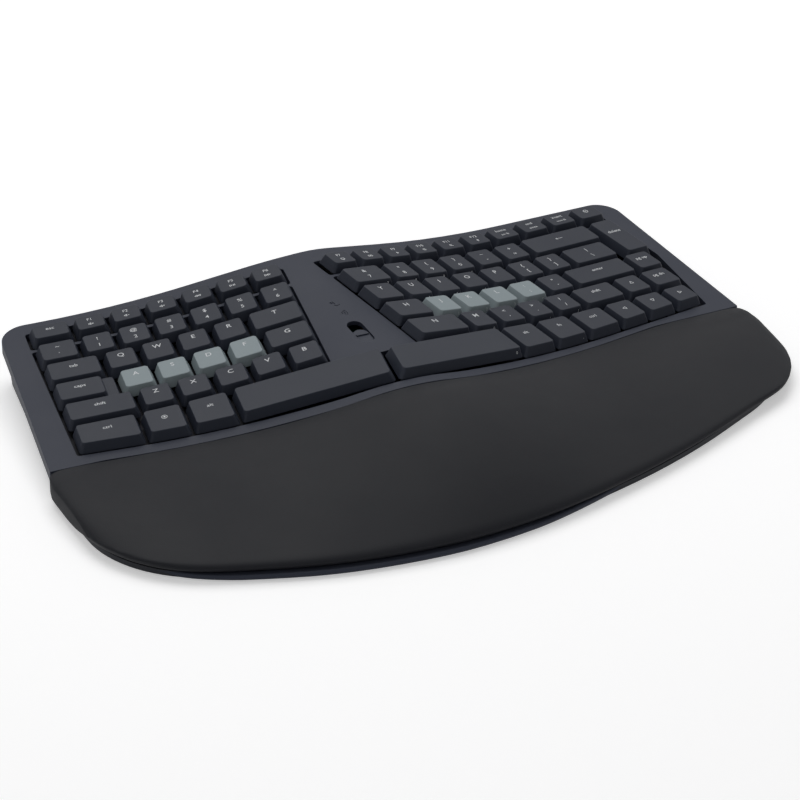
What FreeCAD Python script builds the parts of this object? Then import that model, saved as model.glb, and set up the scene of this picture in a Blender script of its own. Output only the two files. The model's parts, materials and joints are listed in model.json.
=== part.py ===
# Ergonomic keyboard with a raised middle, two splayed key fields and a padded palm rest.
# Millimetres. +X runs to the right of the typist, +Y away from the typist, +Z up.
# The origin is on the desk, under the middle of the outline.
import FreeCAD, Part
import os
from math import atan2, cos, degrees, pi, radians, sin, sqrt, tan

V = FreeCAD.Vector

# Key grid and caps
KEY_PITCH = 19.05
KEY_GAP = 1.05
SIDE_INSET = 2.0
FRONT_INSET = 1.9
BACK_INSET = 1.1
CAP_DEPTH = 5.4
CAP_WALL = 1.2
CAP_TOP_WALL = 0.9
CAP_ROOF = 1.4
CAP_CORNER = 1.8
CAP_EDGE = 0.4
KEY_TRAVEL = 3.0
FUNCTION_KEY_DEPTH = 14.5
FUNCTION_ROW = 15.15
NUMBER_ROW = -4.6
BOTTOM_ROW_EXTRA_GAP = 1.2
STEP_WIDTH = 5.5
STEP_DROP = 2.6

# Splay of the halves and the bent surface that carries the key tops
SPLAY = 9.8
INNER_OFFSET = 14.1
CROWN_RADIUS = 114.0
FLANK_SLOPE = 12.2
FLANK_LENGTH = 32.0
DISH_RADIUS = 635.0
END_SLOPE = 4.8
DECK_TILT = 4.8
CREST_HEIGHT = 50.0
REACH = 300.0

# Levels below the key tops
DECK_DROP = 5.0
DECK_THICKNESS = 2.4
SKIRT_DEPTH = 6.0
PLATE_DROP = 8.8
PLATE_THICKNESS = 1.2
BOARD_DROP = 12.3
BOARD_THICKNESS = 1.2
SEAT_GAP = 0.3
FASTENER_GAP = 0.1

# Switches
HOUSING_SIZE = 13.4
HOUSING_ABOVE_PLATE = 3.8
HOUSING_BELOW_PLATE = 3.0
HOUSING_UPPER_SIZE = 11.8
SHORT_HOUSING_DEPTH = 11.4
SHORT_UPPER_DEPTH = 8.6
SHORT_KEY_DEPTH = 17.5
FLANGE_SIZE = 14.0
FLANGE_THICKNESS = 0.8
HOUSING_FLOOR = 0.8
STEM_SIZE = 6.4
STEM_CLEARANCE = 0.3
STEM_BORE = 4.6
STEM_ROOF = 1.6
BOTTOM_OUT_GAP = 0.4
SPRING_DIAMETER = 4.0
SPRING_WALL = 0.4
HOLE_CLEARANCE = 0.15

# Stabilisers of the wide keys
WIDE_KEY = 1.9
STABILISER_SPACING = 24.0
SPACE_STABILISER_SPACING = 40.0
LONG_KEY = 3.0
POST_SIZE = 2.4
POST_ABOVE_PLATE = 0.5
WIRE_DIAMETER = 1.0
WIRE_OFFSET = 8.0
WIRE_GAP = 0.2

# Deck outline, measured from the line that splits the halves
BACK_LEFT = (-155.0, 60.0)
BACK_MIDDLE = (-8.0, 32.5)
BACK_RIGHT = (212.5, 66.0)
SEAM_RIGHT = (220.5, -61.5)
SEAM_RIGHT_BEND = (165.0, -69.0)
SEAM_MIDDLE = (0.0, -113.4)
SEAM_LEFT_BEND = (-150.0, -75.8)
SEAM_LEFT = (-177.5, -71.5)
BACK_LEFT_RADIUS = 14.0
BACK_MIDDLE_RADIUS = 90.0
BACK_RIGHT_RADIUS = 12.0
SEAM_RADIUS = 190.0
SEAM_BEND_RADIUS = 110.0
SEAM_END_RADIUS = 0.6
DECK_WALL = 2.2

# Key wells
WELL_MARGIN = 0.7
WELL_INNER_MARGIN = 1.6
WELL_CORNER = 1.6
WELL_SIDE_RADIUS = 8.0
WEDGE_ROUNDING = 2.0
WELL_WALL = 1.2
WELL_FRONT_MIDDLE = -107.6
WELL_FRONT_SLOPE = 13.6
WELL_FRONT_RADIUS = 190.0
BOTTOM_KEY_CLEARANCE = 1.2
SPACE_SPLIT = (-0.4, -87.0)
SPACE_HALF_GAP = 0.75

# Mode switch in the centre wedge
SLOT_CENTRE = (0.7, -51.3)
SLOT_LENGTH = 21.5
SLOT_WIDTH = 8.4
SLOT_LIP = 0.3
KNOB_LENGTH = 13.6
KNOB_BELOW_DECK = 0.9
RIDGE_HEIGHT = 0.7
RIDGE_LENGTH = 1.2
RIDGE_MARGIN = 0.5
RIDGE_OFFSET = 1.5
SLIDER_TRAVEL = 6.6
SLIDER_FLANGE_THICKNESS = 1.0
SLIDER_FLANGE_MARGIN = 1.6
PEG_SIZE = 2.4
PEG_LENGTH = 1.4
SWITCH_BODY_WALL = 2.0
ENGRAVING_DEPTH = 0.3
ENGRAVING_WIDTH = 0.55
CABLE_SIGN_Y = -21.0
PLUG_SIGN_X = -1.2
PLUG_SIGN_SIZE = (2.6, 1.8)
PRONG_WIDTH = 0.5
PRONG_LENGTH = 1.2
PRONG_SPACING = 1.2
LOOP_SIGN_X = 0.4
LOOP_RADIUS = 1.6
WAVES_SIGN_Y = -31.5
WAVE_SIGN_X = -2.0
WAVE_RADII = (1.6, 2.9, 4.2)
WAVE_ANGLE = 80.0

# Controller, socket and battery
CONTROLLER_DROP = 13.0
CONTROLLER_THICKNESS = 1.2
CONTROLLER_HALF_WIDTH = 7.5
CONTROLLER_FRONT = -66.0
CONTROLLER_BACK = 27.4
SOCKET_FACE = 30.2
POST_RADIUS = 3.0
POST_PLACES = (12.0, -8.0)
SOCKET_WIDTH = 9.0
SOCKET_HEIGHT = 3.3
SOCKET_DEPTH = 7.4
SOCKET_WALL = 0.35
SOCKET_BACK = 1.0
SOCKET_TONGUE = 0.7
SOCKET_CORNER = 1.5
SOCKET_OPENING_MARGIN = 1.0
BATTERY_SIZE = (80.0, 46.0, 8.0)
BATTERY_MIDDLE = (0.0, -38.0)
BATTERY_EDGE = 2.5
RIBBON_WIDTH = 12.0
RIBBON_THICKNESS = 0.3
RIBBON_LAP = 3.0
RIBBON_Y = -42.0
RIBBON_OUTER = 24.0
RIBBON_KNEE_REACH = 6.0
RIBBON_KNEE_DROP = 2.0
RIBBON_END_DROP = 0.6
RIBBON_SAG = 0.4
PLATE_MARGIN = 1.5
PLATE_INNER_MARGIN = 2.0
PLATE_MIDDLE_GAP = 9.0

# Palm rest: its widest outline, measured from the split line, and the section of its pad
PALM_LEFT = -181.5
PALM_RIGHT = 223.8
PALM_FRONT_LEFT_Y = -164.9
PALM_FRONT_POINT = (-36.4, -223.5)
PALM_FRONT_KNEE = (114.7, -184.4)
PALM_FRONT_RIGHT_Y = -131.1
PALM_LEFT_SHOULDER = 11.5
PALM_RIGHT_SHOULDER = 4.5
PALM_LEFT_SHOULDER_RADIUS = 30.0
PALM_RIGHT_SHOULDER_RADIUS = 6.0
PALM_LEFT_RADIUS = 65.7
PALM_FRONT_RADIUS = 305.8
PALM_KNEE_RADIUS = 420.0
PALM_RIGHT_RADIUS = 88.0
RIM_HEIGHT = 4.0
RIM_INSET = 3.5
CUSHION_PAD = 9.0
CUSHION_NOSE = 4.5
CUSHION_NOSE_SHARE = 0.5
CUSHION_TUCK_ROUND = 0.6
CUSHION_TUCK_SHARE = 0.45
CUSHION_BULGE = 0.2
CUSHION_BELLY_PLACE = 0.55
CUSHION_BELLY_RISE = 0.4
CUSHION_LIFT = 1.3
CUSHION_FULL_LIFT_HEIGHT = 20.0
CUSHION_ROLL = 14.0
CUSHION_ROLL_SHARE = 0.25
CUSHION_STATIONS = 14
CUSHION_END_MARGIN = 0.6
CUSHION_END_ROUND = 13.0
CUSHION_END_SHARE = 0.8
SUPPORT_WALL = 2.0
SUPPORT_FRONT_HEIGHT = 5.6
SUPPORT_END_MARGIN = 45.0
SUPPORT_FRONT_MARGIN = 8.0
SUPPORT_BACK_MARGIN = 7.0
SUPPORT_STATIONS = 13

# Bottom case
CASE_FLOOR = 2.0
CASE_WALL = 2.2
CASE_UNDERCUT = 4.0
UNDERCUT_TOP = 16.0
PAD_HEIGHT = 1.2
PAD_RADIUS = 6.0
PAD_SINK = 0.6
PAD_PLACES = (
    (-136.0, 38.0), (192.0, 42.0), (-150.0, -140.0), (196.0, -112.0), (-20.0, -190.0), (0.0, 18.0),
)
SCREW_RADIUS = 1.3
SCREW_CLEARANCE = 0.15
SCREW_HEAD_RADIUS = 2.6
SCREW_HEAD_HEIGHT = 1.4
SCREW_LENGTH = 8.0
SCREW_END_GAP = 0.5
BOARD_SCREW_LENGTH = 5.0
SUPPORT_SCREW_PLACES = ((-100.0, -125.0), (-10.0, -150.0), (100.0, -118.0))
DECK_SCREW_PLACES = ((-150.9, 29.0), (-165.7, -58.0), (204.8, 35.0), (210.5, -52.0))
DECK_POST_RADIUS = 2.6
COLUMN_RADIUS = 3.5
COLUMN_PLACES = ((-118.0, -62.0), (-118.0, 18.0), (-60.0, 10.0), (-60.0, -70.0), (60.0, 10.0), (60.0, -70.0),
                 (120.0, -50.0), (120.0, 30.0), (180.0, -40.0), (180.0, 30.0))

# Fold-out feet under the palm rest
FOOT_PLACES = ((-105.0, -168.0), (130.0, -146.0))
FOOT_LENGTH = 44.0
FOOT_REACH = 13.0
FOOT_THICKNESS = 2.6
FOOT_HINGE_HEIGHT = 2.9
FOOT_PIN_RADIUS = 0.8
FOOT_PIN_CLEARANCE = 0.05
FOOT_GAP = 0.5
FOOT_RECESS_ROOF = 0.9
FOOT_EAR = 4.0

# Keys of each row, from the middle outwards: node and width in pitches
LEFT_ROWS = {
    "function": (0.0, [("function_keys_f1_f6", 1.0)] * 6 + [("escape_key", 1.2)]),
    "number": (0.0, [("number_keys_1_6", 1.0)] * 6 + [("tilde_key", 1.2)]),
    "tab": (0.0, [("t_and_g_keys", 1.58)] + [("letter_keys_q_r", 1.0)] * 4 + [("tab_key", 1.6)]),
    "home": (0.0, [("t_and_g_keys", 1.4)] + [("home_keys_a_f", 1.0)] * 4 + [("caps_lock_key", 1.75)]),
    "shift": (0.0, [("letter_keys_z_b", 1.02)] * 5 + [("left_shift_key", 2.0)]),
    "bottom": (
        -1.43,
        [("left_space_key", 4.22), ("left_alt_key", 1.26), ("system_key", 1.2), ("left_control_key", 1.8)],
    ),
}
RIGHT_ROWS = {
    "function": (0.1, [("function_keys_f7_f12", 0.97)] * 6 + [("editing_keys", 1.045)] * 4),
    "number": (0.03, [("number_keys_7_equals", 1.43)] + [("number_keys_7_equals", 1.0)] * 5
               + [("backspace_key", 2.58)]),
    "tab": (0.03, [("y_key", 1.13)] + [("letter_keys_u_bracket", 1.0)] * 6 + [("backslash_key", 1.7)]),
    "home": (0.03, [("h_key", 1.4)] + [("home_keys_j_semicolon", 1.0)] * 4 + [("quote_key", 1.0)]
             + [("enter_key", 2.27), ("page_keys", 1.0)]),
    "shift": (0.03, [("n_key", 1.87)] + [("letter_keys_m_slash", 1.0)] * 4 + [("right_shift_key", 1.55)]
              + [("arrow_keys", 1.0), ("page_keys", 1.1)]),
    "bottom": (
        -1.68,
        [("right_space_key", 4.25), ("right_alt_key", 1.25), ("function_shift_key", 1.2)]
        + [("right_control_key", 1.24), ("arrow_keys", 1.05), ("arrow_keys", 1.07), ("arrow_keys", 1.0)],
    ),
}
DELETE_KEY = ("delete_key", 9.06, 0.97)
LEFT_FIELD_END = 7.2
LEFT_FIELD_FRONT_END = 7.05
RIGHT_FIELD_END = 10.1
RIGHT_FIELD_FRONT_END = 9.42
ROW_ORDER = ("number", "tab", "home", "shift")

TILT = radians(DECK_TILT)
TURN = radians(SPLAY)
FLANK = radians(FLANK_SLOPE)
END = radians(END_SLOPE)
CROWN_END = (CROWN_RADIUS * sin(FLANK), -CROWN_RADIUS * (1 - cos(FLANK)))
DISH_START = (CROWN_END[0] + FLANK_LENGTH * cos(FLANK), CROWN_END[1] - FLANK_LENGTH * sin(FLANK))
DISH_END = (
    DISH_START[0] + DISH_RADIUS * (sin(FLANK) - sin(END)),
    DISH_START[1] - DISH_RADIUS * (cos(END) - cos(FLANK)),
)
CROWN_RUN = CROWN_RADIUS * FLANK
DISH_RUN = CROWN_RUN + FLANK_LENGTH
END_RUN = DISH_RUN + DISH_RADIUS * (FLANK - END)


# Place and slope of the bent surface at a signed distance along it from the crest
def bend(run):
    side = -1 if run < 0 else 1
    run = abs(run)
    if run < CROWN_RUN:
        slope = run / CROWN_RADIUS
        x = CROWN_RADIUS * sin(slope)
        z = -CROWN_RADIUS * (1 - cos(slope))
    elif run < DISH_RUN:
        slope = FLANK
        x = CROWN_END[0] + (run - CROWN_RUN) * cos(FLANK)
        z = CROWN_END[1] - (run - CROWN_RUN) * sin(FLANK)
    elif run < END_RUN:
        slope = FLANK - (run - DISH_RUN) / DISH_RADIUS
        x = DISH_START[0] + DISH_RADIUS * (sin(FLANK) - sin(slope))
        z = DISH_START[1] - DISH_RADIUS * (cos(slope) - cos(FLANK))
    else:
        slope = END
        x = DISH_END[0] + (run - END_RUN) * cos(END)
        z = DISH_END[1] - (run - END_RUN) * sin(END)
    return side * x, z, side * slope


# Height of the bent surface at a distance from the split line
def surface_height(x):
    x = abs(x)
    if x < CROWN_END[0]:
        return sqrt(CROWN_RADIUS**2 - x**2) - CROWN_RADIUS
    if x < DISH_START[0]:
        return CROWN_END[1] - (x - CROWN_END[0]) * tan(FLANK)
    if x < DISH_END[0]:
        across = DISH_START[0] + DISH_RADIUS * sin(FLANK) - x
        return DISH_START[1] + DISH_RADIUS * cos(FLANK) - sqrt(DISH_RADIUS**2 - across**2)
    return DISH_END[1] - (x - DISH_END[0]) * tan(END)


# Edges of the bent surface's section from left to right, lowered by a drop
def surface_edges(drop):
    runs = [-END_RUN, -DISH_RUN, -CROWN_RUN, CROWN_RUN, DISH_RUN, END_RUN]
    points = [V(-REACH, 0, surface_height(REACH) - drop)]
    for run in runs:
        x, z, slope = bend(run)
        points.append(V(x, 0, z - drop))
    points.append(V(REACH, 0, surface_height(REACH) - drop))
    edges = []
    curved = {1: (-END_RUN - DISH_RUN) / 2, 3: 0.0, 5: (END_RUN + DISH_RUN) / 2}
    for i in range(len(points) - 1):
        if i in curved:
            x, z, slope = bend(curved[i])
            edges.append(Part.Arc(points[i], V(x, 0, z - drop), points[i + 1]).toShape())
        else:
            edges.append(Part.LineSegment(points[i], points[i + 1]).toShape())
    return edges, points[0], points[-1]


# Solid between two drops of the bent surface, over the whole plan
def bent_slab(top_drop, bottom_drop):
    top, top_left, top_right = surface_edges(top_drop)
    bottom, bottom_left, bottom_right = surface_edges(bottom_drop)
    ends = [
        Part.LineSegment(top_left, bottom_left).toShape(),
        Part.LineSegment(top_right, bottom_right).toShape(),
    ]
    wire = Part.Wire(Part.__sortEdges__(top + bottom + ends))
    slab = Part.Face(wire).extrude(V(0, 2 * REACH, 0))
    slab.translate(V(0, -REACH, 0))
    return slab


# Closed wire through corner points, each corner rounded to its radius
def rounded_wire(points, radii, z=0.0):
    count = len(points)
    corners = [V(p[0], p[1], z) for p in points]
    starts = []
    ends = []
    middles = []
    for i in range(count):
        here = corners[i]
        before = (corners[i - 1] - here).normalize()
        after = (corners[(i + 1) % count] - here).normalize()
        half = before.getAngle(after) / 2
        reach = radii[i] / tan(half)
        bisector = (before + after).normalize()
        starts.append(here + before * reach)
        ends.append(here + after * reach)
        middles.append(here + bisector * (radii[i] / sin(half) - radii[i]))
    edges = []
    for i in range(count):
        edges.append(Part.Arc(starts[i], middles[i], ends[i]).toShape())
        edges.append(Part.LineSegment(ends[i], starts[(i + 1) % count]).toShape())
    return Part.Wire(edges)


def prism(wire, bottom, top):
    face = Part.Face(wire)
    face.translate(V(0, 0, bottom - wire.BoundBox.ZMin))
    return face.extrude(V(0, 0, top - bottom))


def inset(wire, distance):
    return wire.makeOffset2D(-distance)


def box(x_size, y_size, bottom, top, x=0.0, y=0.0):
    return Part.makeBox(x_size, y_size, top - bottom, V(x - x_size / 2, y - y_size / 2, bottom))


# Outline, listed anticlockwise, with each side moved in by its own distance
def inset_polygon(points, distances):
    lines = []
    count = len(points)
    for i in range(count):
        a = V(points[i][0], points[i][1], 0)
        b = V(points[(i + 1) % count][0], points[(i + 1) % count][1], 0)
        along = (b - a).normalize()
        inward = V(-along.y, along.x, 0)
        lines.append((a + inward * distances[i], along))
    corners = []
    for i in range(count):
        p, d = lines[i - 1]
        q, e = lines[i]
        t = ((q.x - p.x) * e.y - (q.y - p.y) * e.x) / (d.x * e.y - d.y * e.x)
        corners.append((p.x + d.x * t, p.y + d.y * t))
    return corners


# Deck frame to desk frame: the deck rises to the back, and its crest stands above the desk
def tilt(shape):
    moved = shape.copy()
    moved.rotate(V(0, 0, 0), V(1, 0, 0), DECK_TILT)
    moved.translate(V(0, 0, CREST_HEIGHT))
    return moved


# Height above the desk of a point of the deck, from its place in the plan of the desk
def deck_height(x, y, drop):
    z = surface_height(x) - drop
    deck_y = (y + z * sin(TILT)) / cos(TILT)
    return deck_y * sin(TILT) + z * cos(TILT) + CREST_HEIGHT


# Outline of the deck with its back and ends moved in by one distance and its seam by another
def deck_outline(side_inset, seam_inset):
    seam = [SEAM_LEFT, SEAM_LEFT_BEND, SEAM_MIDDLE, SEAM_RIGHT_BEND]
    sides = [SEAM_RIGHT, BACK_RIGHT, BACK_MIDDLE, BACK_LEFT]
    radii = [
        SEAM_END_RADIUS,
        SEAM_BEND_RADIUS + seam_inset,
        SEAM_RADIUS - seam_inset,
        SEAM_BEND_RADIUS + seam_inset,
        SEAM_END_RADIUS,
        BACK_RIGHT_RADIUS - side_inset,
        BACK_MIDDLE_RADIUS + side_inset,
        BACK_LEFT_RADIUS - side_inset,
    ]
    return rounded_wire(inset_polygon(seam + sides, [seam_inset] * 4 + [side_inset] * 4), radii)


DECK_WIRE = deck_outline(0.0, 0.0)
PALM_WIRE = rounded_wire(
    [SEAM_LEFT, SEAM_LEFT_BEND, SEAM_MIDDLE, SEAM_RIGHT_BEND, SEAM_RIGHT,
     (PALM_RIGHT, SEAM_RIGHT[1] - PALM_RIGHT_SHOULDER), (PALM_RIGHT, PALM_FRONT_RIGHT_Y),
     PALM_FRONT_KNEE, PALM_FRONT_POINT,
     (PALM_LEFT, PALM_FRONT_LEFT_Y), (PALM_LEFT, SEAM_LEFT[1] - PALM_LEFT_SHOULDER)],
    [SEAM_END_RADIUS, SEAM_BEND_RADIUS, SEAM_RADIUS, SEAM_BEND_RADIUS, SEAM_END_RADIUS,
     PALM_RIGHT_SHOULDER_RADIUS, PALM_RIGHT_RADIUS, PALM_KNEE_RADIUS, PALM_FRONT_RADIUS,
     PALM_LEFT_RADIUS, PALM_LEFT_SHOULDER_RADIUS],
)
RIM_WIRE = PALM_WIRE.makeOffset2D(-RIM_INSET)
PLAN_BOX = DECK_WIRE.BoundBox.united(PALM_WIRE.BoundBox)
ORIGIN = V((PLAN_BOX.XMin + PLAN_BOX.XMax) / 2, (PLAN_BOX.YMin + PLAN_BOX.YMax) / 2, 0)


# Front line of the key wells in the plan of the deck
def well_front(x):
    slope = radians(WELL_FRONT_SLOPE)
    tangent = WELL_FRONT_RADIUS * sin(slope)
    if abs(x) >= tangent:
        return WELL_FRONT_MIDDLE + abs(x) * tan(slope)
    centre = WELL_FRONT_MIDDLE + WELL_FRONT_RADIUS / cos(slope)
    return centre - sqrt(WELL_FRONT_RADIUS**2 - x**2)


# Place in the plan of the deck of a point of a half's key grid
def grid_point(side, along, across):
    run = INNER_OFFSET + along * cos(TURN) - across * sin(TURN)
    x, z, slope = bend(run)
    return side * x, along * sin(TURN) + across * cos(TURN)


# Where a line across the grid at one place along it meets the wells' front line
def grid_front(side, along, offset):
    across = -85.0
    for step in range(6):
        x, y = grid_point(side, along, across)
        across += (well_front(x) + offset - y) / cos(TURN)
    return across


class Key:
    # A key is held by its half, the middle of its cell on the grid and its size in millimetres
    def __init__(self, node, side, inner, width, front, back, row):
        self.node = node
        self.side = side
        self.row = row
        self.width = width * KEY_PITCH
        self.middle = inner * KEY_PITCH + self.width / 2
        if row == "bottom":
            front = grid_front(side, self.middle, BOTTOM_KEY_CLEARANCE)
        self.across = (front + back) / 2
        self.depth = back - front
        run = INNER_OFFSET + self.middle * cos(TURN) - self.across * sin(TURN)
        self.run = run
        half = self.width * cos(TURN) / 2
        x, self.sheet_z, self.sheet_slope = bend(run)
        inner_x, inner_z, inner_slope = bend(run - half)
        outer_x, outer_z, outer_slope = bend(run + half)
        self.slope = atan2(inner_z - outer_z, outer_x - inner_x)
        self.x = side * x
        self.y = self.middle * sin(TURN) + self.across * cos(TURN)
        self.z = (self.sheet_z + (inner_z + outer_z) / 2) / 2
        self.plate_level = (self.sheet_z - self.z - PLATE_DROP) * cos(self.slope)

    def place(self, shape):
        return self.turned(shape, self.slope, self.z)

    # The same for a piece that lies along the bent sheet instead of the key's own plane
    def place_on_sheet(self, shape):
        return self.turned(shape, self.sheet_slope, self.sheet_z)

    def turned(self, shape, slope, z):
        moved = shape.copy()
        moved.rotate(V(0, 0, 0), V(0, 0, 1), self.side * SPLAY)
        moved.rotate(V(0, 0, 0), V(0, 1, 0), self.side * degrees(slope))
        moved.translate(V(self.x, self.y, z))
        return moved

    # Lower outline of the cap in the key's own plane: front left, front right, back right, back left
    def base(self):
        half = (self.width - KEY_GAP) / 2
        back = self.depth / 2
        if self.row != "bottom":
            return [(-half, -back), (half, -back), (half, back), (-half, back)]
        left = -half
        right = half
        lean = 0.0
        split_gap = SPACE_HALF_GAP + CAP_DEPTH * sin(self.slope)
        if self.node == "left_space_key":
            right = self.split_place() - split_gap
        if self.node == "right_space_key":
            left = self.split_place() + split_gap
            lean = tan(2 * TURN)
        fronts = [self.front_line(left), self.front_line(right)]
        front_left = (left + lean * fronts[0], fronts[0])
        back_left = (left + lean * back, back)
        return [front_left, (right, fronts[1]), (right, back), back_left]

    # Where the line between the space keys crosses this key's own middle line
    def split_place(self):
        dx = (SPACE_SPLIT[0] - self.x) / cos(self.slope)
        dy = SPACE_SPLIT[1] - self.y
        turn = self.side * TURN
        u = dx * cos(turn) + dy * sin(turn)
        v = dy * cos(turn) - dx * sin(turn)
        lean = 0.0 if self.side < 0 else tan(2 * TURN)
        return u - lean * v

    # Place across the key of the front line at a place along the key
    def front_line(self, u):
        turn = self.side * TURN
        v = -self.depth / 2
        for step in range(6):
            x = self.x + (u * cos(turn) - v * sin(turn)) * cos(self.slope)
            y = self.y + u * sin(turn) + v * cos(turn)
            v += (well_front(x) + BOTTOM_KEY_CLEARANCE - y) / cos(turn)
        return v

    # How far the bent sheet falls below its tangent at the key, within a reach to both sides
    def sheet_sag(self, reach):
        sag = 0.0
        for run in (self.run - reach, self.run + reach):
            x, z, slope = bend(run)
            across = (x - self.side * self.x) * sin(self.sheet_slope)
            sag = max(sag, -across - (z - self.sheet_z) * cos(self.sheet_slope))
        return sag

    def stabiliser_offsets(self):
        if self.width < WIDE_KEY * KEY_PITCH:
            return []
        spacing = STABILISER_SPACING
        if self.width > LONG_KEY * KEY_PITCH:
            spacing = SPACE_STABILISER_SPACING
        return [-spacing / 2, spacing / 2]


# All keys of both halves
def make_keys():
    keys = []
    number_back = NUMBER_ROW + (KEY_PITCH - KEY_GAP) / 2
    for side, rows in ((-1, LEFT_ROWS), (1, RIGHT_ROWS)):
        for row, (inner, cells) in rows.items():
            if row == "function":
                front = FUNCTION_ROW - FUNCTION_KEY_DEPTH / 2
                back = FUNCTION_ROW + FUNCTION_KEY_DEPTH / 2
            elif row == "bottom":
                front = None
                back = number_back - len(ROW_ORDER) * KEY_PITCH - BOTTOM_ROW_EXTRA_GAP
            else:
                back = number_back - ROW_ORDER.index(row) * KEY_PITCH
                front = back - KEY_PITCH + KEY_GAP
            for node, width in cells:
                keys.append(Key(node, side, inner, width, front, back, row))
                inner += width
    node, inner, width = DELETE_KEY
    front = number_back - 2 * KEY_PITCH + KEY_GAP
    keys.append(Key(node, 1, inner, width, front, number_back, "delete"))
    return keys


def frustum(low, high, low_z, high_z, corner):
    low_wire = rounded_wire(low, [corner] * 4, low_z)
    high_wire = rounded_wire(high, [corner] * 4, high_z)
    return Part.makeLoft([low_wire, high_wire], True, True)


def round_top(solid, radius):
    top = solid.BoundBox.ZMax
    edges = [e for e in solid.Edges if e.BoundBox.ZMin > top - 0.001]
    return solid.makeFillet(radius, edges)


# Hollow cap with sloping sides, its top in the plane z = 0 of the key
def make_cap(key):
    base = key.base()
    insets = [FRONT_INSET, SIDE_INSET, BACK_INSET, SIDE_INSET]
    if key.node == "caps_lock_key":
        step_x = base[1][0] - STEP_WIDTH
        raised = [base[0], (step_x, base[1][1]), (step_x, base[2][1]), base[3]]
        high = round_top(frustum(raised, inset_polygon(raised, insets), -CAP_DEPTH, 0, CAP_CORNER), CAP_EDGE)
        share = 1 - STEP_DROP / CAP_DEPTH
        low_top = inset_polygon(base, [share * d for d in insets])
        low = frustum(base, low_top, -CAP_DEPTH, -STEP_DROP, CAP_CORNER)
        cap = high.fuse(low).removeSplitter()
        hollow_base = raised
    else:
        cap = round_top(frustum(base, inset_polygon(base, insets), -CAP_DEPTH, 0, CAP_CORNER), CAP_EDGE)
        hollow_base = base
    hollow_low = inset_polygon(hollow_base, [CAP_WALL] * 4)
    hollow_high = inset_polygon(inset_polygon(hollow_base, insets), [CAP_TOP_WALL] * 4)
    return cap.cut(frustum(hollow_low, hollow_high, -CAP_DEPTH, -CAP_ROOF, CAP_CORNER))


# Stem between the cap and the housing, hollow from below for its spring
def make_stem(key):
    bottom = housing_bottom(key) + HOUSING_FLOOR + KEY_TRAVEL + BOTTOM_OUT_GAP
    stem = box(STEM_SIZE, STEM_SIZE, bottom, -CAP_ROOF)
    bore = Part.makeCylinder(STEM_BORE / 2, -CAP_ROOF - STEM_ROOF - bottom, V(0, 0, bottom))
    return stem.cut(bore)


def housing_bottom(key):
    return key.plate_level - HOUSING_BELOW_PLATE


def housing_depth(key, depth, short_depth):
    return short_depth if key.depth < SHORT_KEY_DEPTH else depth


def make_housing(key):
    level = key.plate_level
    depth = housing_depth(key, HOUSING_SIZE, SHORT_HOUSING_DEPTH)
    flange_depth = housing_depth(key, FLANGE_SIZE, SHORT_HOUSING_DEPTH)
    upper_depth = housing_depth(key, HOUSING_UPPER_SIZE, SHORT_UPPER_DEPTH)
    lower = box(HOUSING_SIZE, depth, housing_bottom(key), level)
    flange = box(FLANGE_SIZE, flange_depth, level, level + FLANGE_THICKNESS)
    top = min(level + HOUSING_ABOVE_PLATE, -CAP_ROOF - KEY_TRAVEL - SEAT_GAP)
    upper = box(HOUSING_UPPER_SIZE, upper_depth, level, top)
    pocket_size = STEM_SIZE + 2 * STEM_CLEARANCE
    pocket = box(pocket_size, pocket_size, housing_bottom(key) + HOUSING_FLOOR, level + HOUSING_ABOVE_PLATE)
    return lower.fuse(flange).fuse(upper).removeSplitter().cut(pocket)


# Spring in the stem's bore, drawn at its shortest so that it stays clear of the pressed stem
def make_spring(key):
    bottom = housing_bottom(key) + HOUSING_FLOOR
    top = -CAP_ROOF - STEM_ROOF - KEY_TRAVEL - STEM_CLEARANCE
    outer = Part.makeCylinder(SPRING_DIAMETER / 2, top - bottom, V(0, 0, bottom))
    inner = Part.makeCylinder(SPRING_DIAMETER / 2 - SPRING_WALL, top - bottom, V(0, 0, bottom))
    return outer.cut(inner)


# Posts of a wide cap that run in square holes of the plate
def make_posts(key):
    posts = []
    for offset in key.stabiliser_offsets():
        posts.append(box(POST_SIZE, POST_SIZE, key.plate_level + POST_ABOVE_PLATE, -CAP_ROOF, offset, 0))
    return posts


# Wire that joins the two posts, drawn at rest under the plate
def make_wire(key):
    radius = WIRE_DIAMETER / 2
    reach = key.stabiliser_offsets()[1] + POST_SIZE / 2 + SEAT_GAP + radius
    z = -PLATE_DROP - PLATE_THICKNESS - WIRE_GAP - radius - key.sheet_sag(reach)
    bar = Part.makeCylinder(radius, 2 * reach, V(-reach, -WIRE_OFFSET, z), V(1, 0, 0))
    arms = []
    for side in (-1, 1):
        arms.append(Part.makeCylinder(radius, WIRE_OFFSET, V(side * reach, -WIRE_OFFSET, z), V(0, 1, 0)))
    knees = [Part.makeSphere(radius, V(side * reach, -WIRE_OFFSET, z)) for side in (-1, 1)]
    return bar.multiFuse(arms + knees)


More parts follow.
